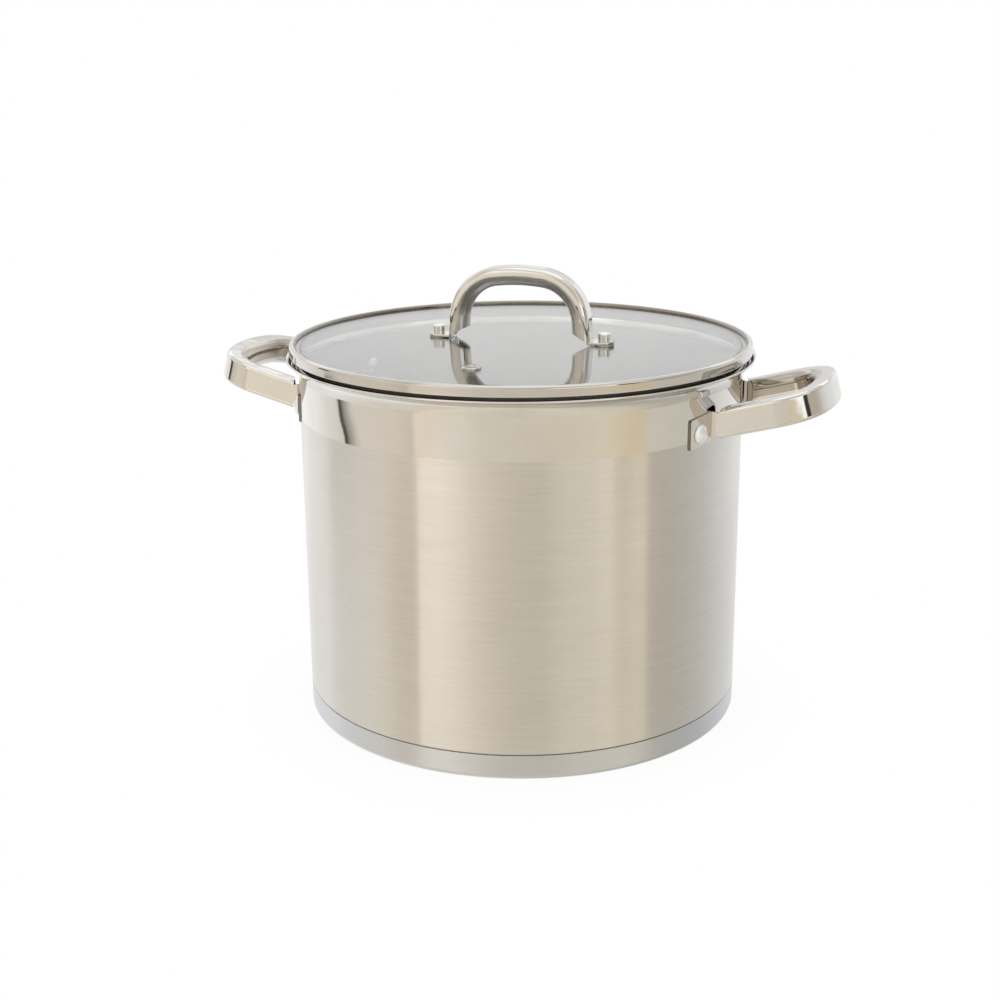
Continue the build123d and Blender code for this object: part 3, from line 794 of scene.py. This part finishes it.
def handle_tab(mesh, spin, side):
    """Tab of the arm at side * y, turned round the pot by spin."""
    def to_pot(v, z):
        return spin @ Vector((v.x, side * v.y, z))

    rows = tab_rows()
    rings = [tab_ring(to_pot, row) for row in rows]
    # faces 9 and 11 are the flat upper and lower edges
    flat = {9: to_pot(Vector((0, 0)), 1), 11: to_pot(Vector((0, 0)), -1)}
    for near, far in zip(rings, rings[1:]):
        for j in range(12):
            k = (j + 1) % 12
            quad = [near[j], near[k], far[k], far[j]]
            normals = [flat[j]] * 4 if j in flat else [n for _, n in quad]
            # the flat edges, the roundings beside them and the ends get the dark cut-edge steel:
            # painted shade along the tab's edges
            mat = CUT_SHADE if j in (0, 1, 7, 8, 9, 11) else MIRROR
            mesh.face([p for p, _ in quad], normals, mat)
    for ring, row, sign in ((rings[0], rows[0], 1), (rings[-1], rows[-1], -1)):
        n = row[1]
        normal = to_pot(Vector((n.y, -n.x)) * sign, 0)
        mesh.face([p for p, _ in ring], [normal] * len(ring), CUT_SHADE)


def side_handle(name, node, turn):
    spin = Matrix.Rotation(turn, 3, "Z")
    frames = loop_frames(
        spin @ Vector((cos(TILT), 0, sin(TILT))),
        spin @ Vector((0, 1, 0)),
        spin @ Vector((-sin(TILT), 0, cos(TILT))),
        spin @ Vector((POT_R, 0, HANDLE_Z)),
    )
    mesh = Shell()
    cut_normals = [spin @ Vector((-ARM_W, -side * CUT_RUN, 0)).normalized() for side in (-1, 1)]
    hollow_sweep(mesh, handle_section(0, MIRROR), handle_section(HANDLE_T, BUFFED),
                 frames, arm_travel, cut_normals)
    for side in (-1, 1):
        handle_tab(mesh, spin, side)
    mesh.make(name, [mirror_handle, buffed_handle, cut_edge_painted_shade], "pot", node)


side_handle("handle_right", "right_handle", 0.0)
side_handle("handle_left", "left_handle", pi)


# ---------------------------------------------------------------------------
# Handle rivets: one through each tab, with a domed head outside and inside
# ---------------------------------------------------------------------------


def dome_radius(r, h):
    """Sphere radius of a cap with rim radius r and height h."""
    return (r * r + h * h) / (2 * h)


def handle_rivets():
    angle = radians(24.4)  # round the pot, from the X axis
    shank_r, head_r, head_h, head_side, head_foot = 2.45, 4.9, 2.7, 0.8, 0.15
    shoulder_r = 0.7
    inner_r, inner_h = 4.4, 1.4
    inner_face = sqrt((POT_R - WALL_T) ** 2 - inner_r**2) - 0.01
    # the shoulder is a fillet between the head's side and its dome
    dome_r = dome_radius(head_r, head_h - head_side)
    dome_z = TAB_R + head_h - dome_r
    half = asin((head_r - shoulder_r) / (dome_r - shoulder_r))
    shoulder_c = (head_r - shoulder_r, dome_z + (dome_r - shoulder_r) * cos(half))
    shoulder_end = 90 - degrees(half)
    inner_dome_r = dome_radius(inner_r, inner_h)
    inner_start = degrees(asin(inner_r / inner_dome_r)) - 90
    prims = [
        line((shank_r, TAB_R), (head_r - head_foot, TAB_R)),
        arc((head_r - head_foot, TAB_R + head_foot), head_foot, -90, 0, 1, 4),
        line((head_r, TAB_R + head_foot), (head_r, shoulder_c[1])),
        arc(shoulder_c, shoulder_r, 0, shoulder_end, 1, 8),
        arc((0, dome_z), dome_r, shoulder_end, 90, 1, 14),
        line((shank_r, inner_face), (shank_r, TAB_R)),
        line((shank_r, inner_face), (inner_r, inner_face), flip=-1),
        arc((0, inner_face + (inner_dome_r - inner_h)), inner_dome_r, inner_start, -90, 1, 14),
    ]
    mesh = Shell()
    for sx in (1, -1):
        for sy in (1, -1):
            way = (sx * cos(angle), sy * sin(angle), 0)
            revolve(mesh, prims, 48, (0, 0, RIVET_Z), way)
    mesh.make("handle_rivet_set", [rivet_satin], "pot", "handle_rivets")


handle_rivets()

# ---------------------------------------------------------------------------
# Lid: steel band round the glass
# ---------------------------------------------------------------------------


def lid_band():
    lip_r, foot_out, foot_in, sheet = 121.3, 121.0, 118.4, 0.8
    ring_bot = GLASS_BOT - sheet
    # under marks the band's underside and the upper part of its foot, tinted near black: painted
    # shade for the gap over the rim
    steel, under, lip = range(3)
    mesh = Shell()
    revolve(mesh, rounded([
        # r, z, rounding, material
        (lip_r, GLASS_TOP, 0, steel),
        (lip_r + sheet, GLASS_TOP, 0, steel),
        (lip_r + sheet, RING_TOP - sheet, 0.3, steel),
        (RING_R - sheet, RING_TOP - sheet, 0.9, steel),
        (RING_R - sheet, GLASS_BOT, 0, under),
        (foot_out - sheet, GLASS_BOT, 1.2, under),
        (foot_out - sheet, FOOT_BOT + sheet, 0.2, under),
        (foot_in + sheet, FOOT_BOT + sheet, 0.2, under),
        (foot_in + sheet, GLASS_BOT, 0, under),
        (foot_in, GLASS_BOT, 0, steel),
        (foot_in, FOOT_BOT, 0.9, steel),
        (foot_out, FOOT_BOT, 0.9, steel),
        (foot_out, ring_bot - 2.6, 0, under),
        (foot_out, ring_bot, 0.4, under),
        (RING_R, ring_bot, 0.9, steel),
        (RING_R, RING_TOP, 1.7, steel),
        # the lip's inner rounding takes the darker steel: painted shade at the glass
        (lip_r, RING_TOP, 1.2, lip),
    ], seg=12))
    mesh.make("lid_band", [mirror_ring, ring_under_painted_shade, lip_edge_painted_shade], "lid", "lid_ring")


lid_band()

# ---------------------------------------------------------------------------
# Lid handle: hollow arch on two flat tabs
# ---------------------------------------------------------------------------
ARCH_W, ARCH_D, ARCH_T = 10.4, 13.2, 1.2  # section across the arch, along Y, and its wall
ARCH_OUT_ROUND, ARCH_IN_ROUND = 3.5, 6.2
ARCH_CORNER_R, CROWN_R = 23.8, 105.0
CROWN_HALF, SPLAY = radians(7.25), radians(4.5)  # half the crown's arc; lean of the legs
CROWN_Z = ARCH_TOP - ARCH_W / 2 - CROWN_R
CORNER_X = (CROWN_R - ARCH_CORNER_R) * sin(CROWN_HALF)
CORNER_Z = CROWN_Z + (CROWN_R - ARCH_CORNER_R) * cos(CROWN_HALF)
LEG_X, LEG_Z = CORNER_X + ARCH_CORNER_R * cos(SPLAY), CORNER_Z + ARCH_CORNER_R * sin(SPLAY)
LEG_FACE = ARCH_W / 2 - ARCH_T  # inside of the leg's outer wall, in the section
LEG_SLANT = 4.8  # rise of the leg's end towards the arch's inside
TAB_TOP = TAB_BOT + ARCH_T
TAB_W = 10.6
LEG_BASE_Z = TAB_TOP + LEG_SLANT + 1.5  # height of the first and last frames
LEG_BASE_X = LEG_X + (LEG_Z - LEG_BASE_Z) * tan(SPLAY)
LEG_OUT_X = LEG_X + (LEG_Z - TAB_TOP) * tan(SPLAY) + ARCH_W / 2 / cos(SPLAY)
PIN_TAIL_R = 3.6
PIN_X = round(((pin_hi[0] - PIN_TAIL_R) + (-pin_lo[0] - PIN_TAIL_R)) / 2, 2)


def arch_frames():
    """Frames along the arch's mid line, from -X to +X; ea points to its outside."""
    side, top = pi / 2 + CROWN_HALF, pi / 2 - CROWN_HALF
    path = [((-LEG_BASE_X, LEG_BASE_Z), (sin(SPLAY), cos(SPLAY))),
            ((-LEG_X, LEG_Z), (sin(SPLAY), cos(SPLAY)))]
    path += arc_path((-CORNER_X, CORNER_Z), ARCH_CORNER_R, pi - SPLAY, side)
    path += arc_path((0, CROWN_Z), CROWN_R, side, top)
    path += arc_path((CORNER_X, CORNER_Z), ARCH_CORNER_R, top, SPLAY)
    path.append(((LEG_BASE_X, LEG_BASE_Z), (sin(SPLAY), -cos(SPLAY))))
    return [(Vector((px, 0, pz)), Vector((tx, 0, tz)), Vector((-tz, 0, tx)), Vector((0, 1, 0)))
            for (px, pz), (tx, tz) in path]


def arch_section(inset):
    w, h = ARCH_W / 2 - inset, ARCH_D / 2 - inset
    out_round, in_round = ARCH_OUT_ROUND - inset, ARCH_IN_ROUND - inset
    return rounded([
        (w, -h, out_round), (w, h, out_round), (-w, h, in_round), (-w, -h, in_round),
    ], seg=12)


def leg_travel(a, b):
    """From the leg's first frame to its end: the outer wall reaches the tab's underside,
    and the rest is cut on a slant."""
    z = TAB_BOT
    if a < LEG_FACE - 1e-6:
        z = TAB_TOP + LEG_SLANT * (LEG_FACE - a) / (ARCH_W - ARCH_T)
    return (z - LEG_BASE_Z - a * sin(SPLAY)) / cos(SPLAY)


def split_section(prims, at):
    """Adds points where the section crosses a = at, so the slanted cut stays straight."""
    out = []
    for pts, normals, mat in prims:
        new_pts, new_normals = [pts[0]], [normals[0]]
        for q in range(1, len(pts)):
            (a0, b0), (a1, b1) = pts[q - 1], pts[q]
            (na0, nb0), (na1, nb1) = normals[q - 1], normals[q]
            if (a0 - at) * (a1 - at) < -1e-9:
                for off in (1e-3, -1e-3) if a0 > a1 else (-1e-3, 1e-3):
                    f = (at + off - a0) / (a1 - a0)
                    if 0 < f < 1:
                        new_pts.append((a0 + (a1 - a0) * f, b0 + (b1 - b0) * f))
                        new_normals.append((na0 + (na1 - na0) * f, nb0 + (nb1 - nb0) * f))
            new_pts.append(pts[q])
            new_normals.append(normals[q])
        out.append((new_pts, new_normals, mat))
    return out


def arch_tab(mesh, side):
    """Flat strip with a round end whose tip turns up slightly, at side * x."""
    x0 = LEG_OUT_X - ARCH_T
    end_r = TAB_W / 2
    lift_x, lift_rate = PIN_X + 1.8, 0.075
    edge_r = 0.3
    # the first point is doubled, which sets how the strips below pair across the tab
    outline = [(x0, -end_r)]
    outline += [(x0 + (PIN_X - x0) * q / 8, -end_r) for q in range(9)]
    for q in range(1, 40):
        an = -pi / 2 + pi * q / 40
        outline.append((PIN_X + end_r * cos(an), end_r * sin(an)))
    outline += [(PIN_X - (PIN_X - x0) * q / 8, end_r) for q in range(9)]
    count = len(outline)

    def past_lift(x):
        return max(0.0, x - lift_x)

    def place(p, z):
        d = past_lift(p.x)
        return Vector((side * p.x, p.y, z + lift_rate * d * d))

    def inset_point(i, inset):
        p = Vector(outline[i])
        if p.x > PIN_X:
            n = (p - Vector((PIN_X, 0))).normalized()
        else:
            n = Vector((0, 1 if p.y > 0 else -1))
        return p - n * inset, n

    # the rim from top to bottom, with rounded edges: (inset, z, outward, upward)
    quarter = [radians(90 * q / 4) for q in range(5)]
    layers = [(edge_r - edge_r * sin(an), TAB_TOP - edge_r + edge_r * cos(an), sin(an), cos(an))
              for an in quarter]
    layers += [(edge_r - edge_r * cos(an), TAB_BOT + edge_r - edge_r * sin(an), cos(an), -sin(an))
               for an in quarter]
    for upper, lower in zip(layers, layers[1:]):
        for i in range(count - 1):
            quad, normals = [], []
            for layer, j in ((upper, i), (upper, i + 1), (lower, i + 1), (lower, i)):
                inset, z, outward, upward = layer
                p, n = inset_point(j, inset)
                quad.append(place(p, z))
                normals.append(Vector((side * n.x * outward, n.y * outward, upward)))
            mesh.face(quad, normals)
    # top and bottom faces as strips across the tab
    for z, up in ((TAB_TOP, 1), (TAB_BOT, -1)):
        for i in range((count - 1) // 2):
            opposite = count - 1 - i
            quad = [place(inset_point(j, edge_r)[0], z)
                    for j in (i, i + 1, opposite - 1, opposite)]
            slopes = [2 * lift_rate * past_lift(p.x * side) for p in quad]
            mesh.face(quad, [Vector((-s * up * side, 0, up)).normalized() for s in slopes])


def lid_arch():
    mesh = Shell()
    outer = arch_section(0)
    end_normals = [Vector((-side * 0.5, 0, -0.85)).normalized() for side in (-1, 1)]
    hollow_sweep(mesh, outer, arch_section(ARCH_T), arch_frames(), leg_travel, end_normals,
                 skin=split_section(outer, LEG_FACE))
    for side in (-1, 1):
        arch_tab(mesh, side)
    mesh.make("lid_arch", [mirror_arch], "lid", "lid_handle")


lid_arch()


# ---------------------------------------------------------------------------
# Lid fasteners and steam vent
# ---------------------------------------------------------------------------


def lid_fasteners():
    tail_top = GLASS_BOT - 1.5
    shank_r, head_r = 2.0, 3.3
    prims = rounded([
        # r, z, rounding
        (0, tail_top - 2.0, 0), (shank_r, tail_top - 2.0, 0.5),
        (PIN_TAIL_R, tail_top - 0.7, 0.4), (PIN_TAIL_R, tail_top, 0.15),
        (shank_r, tail_top, 0), (shank_r, TAB_TOP, 0),
        (head_r, TAB_TOP, 0.15), (head_r, PIN_TOP, 0.7), (0, PIN_TOP, 0),
    ], closed=False)
    mesh = Shell()
    for side in (1, -1):
        revolve(mesh, prims, 64, (side * PIN_X, 0, 0))
    mesh.make("lid_fasteners", [mirror_small], "lid", "lid_rivets")


def steam_vent():
    bore_r, neck_r, low_r, top_r = 2.1, 3.55, 4.7, 5.0
    mesh = Shell()
    revolve(mesh, rounded([
        # r, z, rounding
        (bore_r, VENT_BOT, 0.4), (low_r, VENT_BOT, 0.3), (low_r, GLASS_BOT, 0),
        (neck_r, GLASS_BOT, 0), (neck_r, GLASS_TOP, 0), (top_r, GLASS_TOP, 0.1),
        (top_r, GLASS_TOP + 0.6, 0.4), (4.1, VENT_TOP, 0.5), (2.8, VENT_TOP, 0.5),
        (bore_r, VENT_TOP - 0.8, 0.5),
    ]), 64, (0, VENT_Y, 0))
    mesh.make("steam_vent_eyelet", [vent_steel], "lid", "steam_vent")


lid_fasteners()
steam_vent()

# CAD pieces that keep their shape, with their own finishes
for node, mat in (
    ("lid_glass", glass_clear),
    ("lid_seals", silicone),
    ("lid_washers", washer_satin),
    ("base_core", core_rolled),
):
    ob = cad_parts[node]
    if not ob.material_slots:
        ob.data.materials.append(mat)
    for slot in ob.material_slots:
        slot.material = mat

# ---------------------------------------------------------------------------
# Camera, floor and studio, in metres
# ---------------------------------------------------------------------------
scene = bpy.context.scene
AZ = radians(18.0)  # the camera's axes are turned this much from the pot's


def to_pot_axes(v):
    """From the camera's side of the room (x to its right, y away from it) to the pot's."""
    return Vector((v[0] * cos(AZ) - v[1] * sin(AZ), v[0] * sin(AZ) + v[1] * cos(AZ), v[2]))


def add_camera():
    pitch, yaw, roll = radians(16.4003), radians(-0.79775), radians(-0.48143)
    distance, height = 0.85136, 0.36346
    forward = Vector((sin(yaw) * cos(pitch), cos(yaw) * cos(pitch), -sin(pitch)))
    right = Vector((cos(yaw), -sin(yaw), 0))
    up = right.cross(forward)
    axes = (right * cos(roll) + up * sin(roll), up * cos(roll) - right * sin(roll), -forward)
    matrix = Matrix([to_pot_axes(axis) for axis in axes]).transposed().to_4x4()
    matrix.translation = to_pot_axes((0, -distance, height))
    data = bpy.data.cameras.new("camera")
    data.sensor_width = 36.0
    data.lens = 57.21
    data.clip_start, data.clip_end = 0.01, 100.0
    camera = bpy.data.objects.new("camera", data)
    camera.matrix_world = matrix
    scene.collection.objects.link(camera)
    scene.camera = camera


def add_floor():
    """A large round pale sheet, out of sight of the polished steel."""
    seg = 96
    radii = (0.05, 0.1, 0.15, 0.2, 0.3, 0.5, 1.0, 2.5, 9.0)
    verts = [(0, 0, 0)]
    for r in radii:
        verts += [(r * cos(2 * pi * i / seg), r * sin(2 * pi * i / seg), 0) for i in range(seg)]
    faces = [(0, 1 + i, 1 + (i + 1) % seg) for i in range(seg)]
    for q in range(len(radii) - 1):
        a, b = 1 + q * seg, 1 + (q + 1) * seg
        faces += [(a + i, b + i, b + (i + 1) % seg, a + (i + 1) % seg) for i in range(seg)]
    mesh = bpy.data.meshes.new("studio_floor")
    mesh.from_pydata(verts, [], faces)
    floor = bpy.data.objects.new("studio_floor", mesh)
    floor.location = (0, 0, -0.0002)
    scene.collection.objects.link(floor)
    floor.visible_glossy = False
    # mostly glowing white; a little shadow is caught near the pot
    mat, nodes = material("pale_floor")
    x, y, _ = nodes.split(nodes.new("ShaderNodeNewGeometry").outputs["Position"])
    distance = nodes.math("SQRT", nodes.plus(nodes.times(x, x), nodes.times(y, y)))
    diffuse = nodes.new("ShaderNodeBsdfDiffuse", {"Color": (0.9, 0.9, 0.9, 1)})
    glow = nodes.new("ShaderNodeEmission", {"Color": (1, 1, 1, 1), "Strength": 1.0})
    share = nodes.ease(distance, (0.12, 0.17), to=(0.93, 1.0))
    nodes.output(nodes.mix_shader(share, diffuse.outputs[0], glow.outputs[0]))
    mesh.materials.append(mat)


add_camera()
add_floor()

# The room as the polished steel sees it: a white sweep behind and above, warm
# panels on the camera's side, darker gaps between them. Rows are (azimuth, red,
# green, blue) or (azimuth, grey). Azimuth is measured in degrees from the
# camera's side of the pot; + is to the camera's right.

# what the brushed wall sees (below -16 degrees) and the middle of the room
PANELS = [
    (-180, 1.10), (-155, 0.98), (-140, 1.00, 1.00, 0.99), (-120, 1.12, 1.10, 1.07),
    (-105, 1.02, 0.99, 0.94), (-77, 0.97, 0.94, 0.86), (-68, 0.82, 0.73, 0.60),
    (-55.2, 0.74, 0.65, 0.52), (-53.4, 1.46, 1.38, 1.25), (-44, 1.44, 1.35, 1.22),
    (-36, 1.36, 1.26, 1.11), (-24, 1.03, 0.95, 0.80), (-11, 0.79, 0.72, 0.59),
    (0, 0.71, 0.65, 0.53), (15, 0.67, 0.61, 0.50), (31, 0.83, 0.77, 0.62),
    (44, 0.94, 0.86, 0.71), (50, 1.16, 1.06, 0.88), (60, 1.22, 1.12, 0.94),
    (66.5, 1.12, 1.03, 0.87), (68.5, 0.67, 0.62, 0.51), (84, 0.64, 0.605, 0.545),
    (96, 0.675, 0.66, 0.635), (109, 0.69, 0.685, 0.67), (125, 0.80, 0.80, 0.79),
    (148, 0.88), (180, 1.0),
]
# what the mirror band and the handles' arms see
BELOW = [
    (-180, 0.86, 0.86, 0.87), (-160, 1.0), (-150, 1.17, 1.17, 1.16), (-128, 1.15, 1.12, 1.10),
    (-114, 1.00, 0.98, 0.94), (-104, 0.95, 0.90, 0.82), (-85, 0.96, 0.88, 0.79),
    (-66, 0.93, 0.85, 0.74), (-56, 0.87, 0.78, 0.66), (-54, 1.09, 0.96, 0.80),
    (-47, 1.07, 0.955, 0.80), (-41, 1.04, 0.97, 0.84), (-30, 0.99, 0.92, 0.82),
    (-20, 0.90, 0.835, 0.73), (20, 0.86, 0.79, 0.66), (40, 0.92, 0.85, 0.70),
    (55, 0.90, 0.77, 0.56), (64, 0.90, 0.77, 0.56), (66, 0.86, 0.79, 0.68),
    (90, 0.78, 0.75, 0.66), (105, 0.82, 0.80, 0.76), (120, 0.94, 0.93, 0.91), (140, 1.04),
    (160, 0.94), (180, 0.86, 0.86, 0.87),
]
# near the horizon, under the slanting edge of a white panel
NEAR_UNDER = [
    (-180, 0.98), (-150, 1.2, 1.2, 1.19), (-134, 1.15, 1.12, 1.09), (-115, 1.08, 1.05, 1.0),
    (-112.5, 0.08, 0.07, 0.07), (-106, 0.08, 0.07, 0.06), (-103.5, 0.75, 0.69, 0.60),
    (-90, 0.89, 0.81, 0.69), (-68, 1.07, 0.99, 0.83), (-46, 1.15, 1.05, 0.90),
    (-15, 0.93, 0.86, 0.71), (7, 0.86, 0.80, 0.66), (30, 0.94, 0.82, 0.61),
    (38, 0.95, 0.85, 0.66), (39.5, 1.42, 1.40, 1.40), (46, 1.46, 1.44, 1.46), (47.2, 0.05),
    (56, 0.07, 0.06, 0.06), (59, 0.66, 0.60, 0.49), (76, 0.63, 0.57, 0.48),
    (90, 0.72, 0.68, 0.61), (98, 0.86, 0.82, 0.77), (112, 0.94, 0.94, 0.93), (134, 1.02),
    (150, 1.16), (180, 0.98),
]
# and over that edge
NEAR_OVER = [
    (-180, 0.95), (-150, 1.15, 1.15, 1.14), (-115, 1.08, 1.05, 1.0), (-112.5, 0.08, 0.07, 0.07),
    (-106, 0.08, 0.07, 0.06), (-103.5, 0.75, 0.69, 0.60), (-68, 1.07, 0.99, 0.83),
    (-46, 1.15, 1.05, 0.90), (-15, 1.0, 0.93, 0.80), (10, 0.9, 0.85, 0.72),
    (17, 1.45, 1.43, 1.42), (45.5, 1.48, 1.46, 1.48), (47, 0.05), (56, 0.07, 0.06, 0.06),
    (59, 0.55, 0.51, 0.43), (80, 0.50, 0.47, 0.40), (90, 0.75, 0.72, 0.64),
    (98, 0.86, 0.82, 0.75), (112, 0.93, 0.93, 0.92), (134, 1.02), (150, 1.10), (180, 0.95),
]
# what the spun rim's underside sees, well below the horizon
LOWEST = [
    (-180, 0.98), (-140, 1.15, 1.14, 1.12), (-122, 1.09, 1.08, 1.06), (-94, 0.98, 0.92, 0.84),
    (-79, 0.93, 0.865, 0.765), (-62, 0.95, 0.87, 0.76), (-50, 1.06, 0.955, 0.81),
    (-21, 0.90, 0.85, 0.73), (0, 0.84, 0.79, 0.675), (31, 0.93, 0.88, 0.755),
    (64, 0.86, 0.79, 0.66), (90, 0.62, 0.595, 0.525), (112, 0.60, 0.58, 0.54),
    (145, 0.90, 0.90, 0.89), (180, 0.98),
]
# how strongly the panels change with height below the horizon
BRIGHT = [
    (-180, 0), (-54.5, 0), (-53, 1), (-40, 1), (-18, 0.1), (0, 0), (30, 0.1), (50, 0.75),
    (66.5, 0.8), (68.5, 0), (180, 0),
]
# overhead: (position from 30 to 90 degrees of elevation, colour)
HIGH = [
    (0.0, (0.95, 0.94, 0.92)), (0.35, (0.92, 0.92, 0.91)), (0.55, (1.0, 1.0, 0.99)),
    (0.60, (1.45, 1.45, 1.43)), (1.0, (1.4, 1.4, 1.4)),
]


def grey(value):
    return (value, value, value, 1)


def room_colour(nodes):
    """The room's colour by direction; spans are degrees of azimuth or elevation."""
    mix, ease, times, plus, math = nodes.mix, nodes.ease, nodes.times, nodes.plus, nodes.math
    x, y, z = nodes.split(nodes.new("ShaderNodeTexCoord").outputs["Generated"])
    # into the camera's frame
    cam_x = plus(times(x, cos(AZ)), times(y, sin(AZ)))
    cam_y = math("SUBTRACT", times(y, cos(AZ)), times(x, sin(AZ)))
    az = times(math("ARCTAN2", cam_x, times(cam_y, -1.0)), 180 / pi)
    el = times(math("ARCSINE", z), 180 / pi)
    turn = math("DIVIDE", plus(az, 180.0), 360.0)

    def around(rows):
        return nodes.ramp(turn, [((row[0] + 180) / 360, (row[1:] * 3)[:3]) for row in rows])

    def behind(span):
        return ease(math("ABSOLUTE", az), span)

    panels = around(PANELS)
    fall = plus(1.0, times(around(BRIGHT), ease(el, (-22.5, -17.0), to=(-0.36, 0.85))))
    deep = mix(ease(el, (-33.0, -25.0)), around(LOWEST), mix(1.0, panels, fall, "MULTIPLY"))
    # dark slanting slit left of the pot
    slit_az = plus(times(plus(el, 12.7), -4.2), -105.0)
    off = math("SUBTRACT", az, slit_az)
    slit = nodes.window(off, (-2.5, -1.0), (0.5, 11.0))
    slit = times(slit, nodes.remap(off, (0.0, 2.5), to=(1.0, 0.65)))
    slit = times(slit, math("LESS_THAN", math("ABSOLUTE", plus(el, 13.4)), 1.6))
    below = mix(times(slit, 0.98), around(BELOW), (0.06, 0.05, 0.05, 1))
    colour = mix(ease(el, (-16.0, -15.3)), deep, below)
    # near the horizon: the white panel's edge, and a pale strip behind the pot
    edge_el = math("MAXIMUM", plus(times(math("SUBTRACT", az, 30.0), 0.127), 0.5), -2.0)
    over = ease(math("SUBTRACT", el, edge_el), (-0.4, 0.4))
    near = mix(over, around(NEAR_UNDER), around(NEAR_OVER))
    strip = nodes.window(el, (7.0, 9.5), (11.6, 14.0))
    near = mix(times(behind((152.0, 168.0)), nodes.remap(el, (-4.5, -1.0))),
               near, mix(strip, grey(0.86), grey(1.04)))
    colour = mix(ease(el, (-5.5, -4.5)), colour, near)
    # middle of the room; the sweep behind the pot is a soft light grey
    room = mix(behind((150.0, 176.0)), panels, grey(0.88))
    colour = mix(ease(el, (14.0, 20.0)), colour, room)
    high = nodes.ramp(nodes.remap(el, (30.0, 90.0)), HIGH)
    colour = mix(ease(el, (38.0, 46.0)), colour, high)
    # a bright strip light high on the back wall
    glow = times(nodes.window(el, (22.0, 25.0), (33.0, 38.0)), behind((120.0, 150.0)))
    return mix(glow, colour, (1.55, 1.54, 1.50, 1))


def add_world():
    """The camera itself sees plain white; everything else sees the room."""
    world = bpy.data.worlds.new("studio")
    scene.world = world
    world.use_nodes = True
    nodes = Nodes(world.node_tree)
    room, seen = (nodes.new("ShaderNodeBackground", {0: colour, 1: 1.0}).outputs[0]
                  for colour in (room_colour(nodes), grey(1.0)))
    is_camera = nodes.new("ShaderNodeLightPath").outputs["Is Camera Ray"]
    nodes.new("ShaderNodeOutputWorld", {0: nodes.mix_shader(is_camera, room, seen)})
    world.cycles.sampling_method = "MANUAL"
    world.cycles.sample_map_resolution = 512


def add_key():
    """Soft key from the camera's upper left, for the satin parts and the floor shadow."""
    data = bpy.data.lights.new("soft_key", "AREA")
    data.shape = "RECTANGLE"
    data.size, data.size_y = 0.9, 0.9
    data.energy = 3.0
    key = bpy.data.objects.new("soft_key", data)
    place, target = to_pot_axes((-0.9, -0.7, 1.5)), Vector((0, 0, 0.1))
    key.location = place
    key.rotation_mode = "QUATERNION"
    key.rotation_quaternion = (place - target).to_track_quat("Z", "Y")
    key.visible_glossy = False
    scene.collection.objects.link(key)


add_world()
add_key()

scene.view_settings.view_transform = "Standard"
scene.view_settings.look = "None"
scene.view_settings.exposure = 0.0
scene.view_settings.gamma = 1.0
scene.cycles.max_bounces = 16
scene.cycles.glossy_bounces = 8
scene.cycles.transmission_bounces = 12
scene.cycles.diffuse_bounces = 3
scene.cycles.use_denoising = True
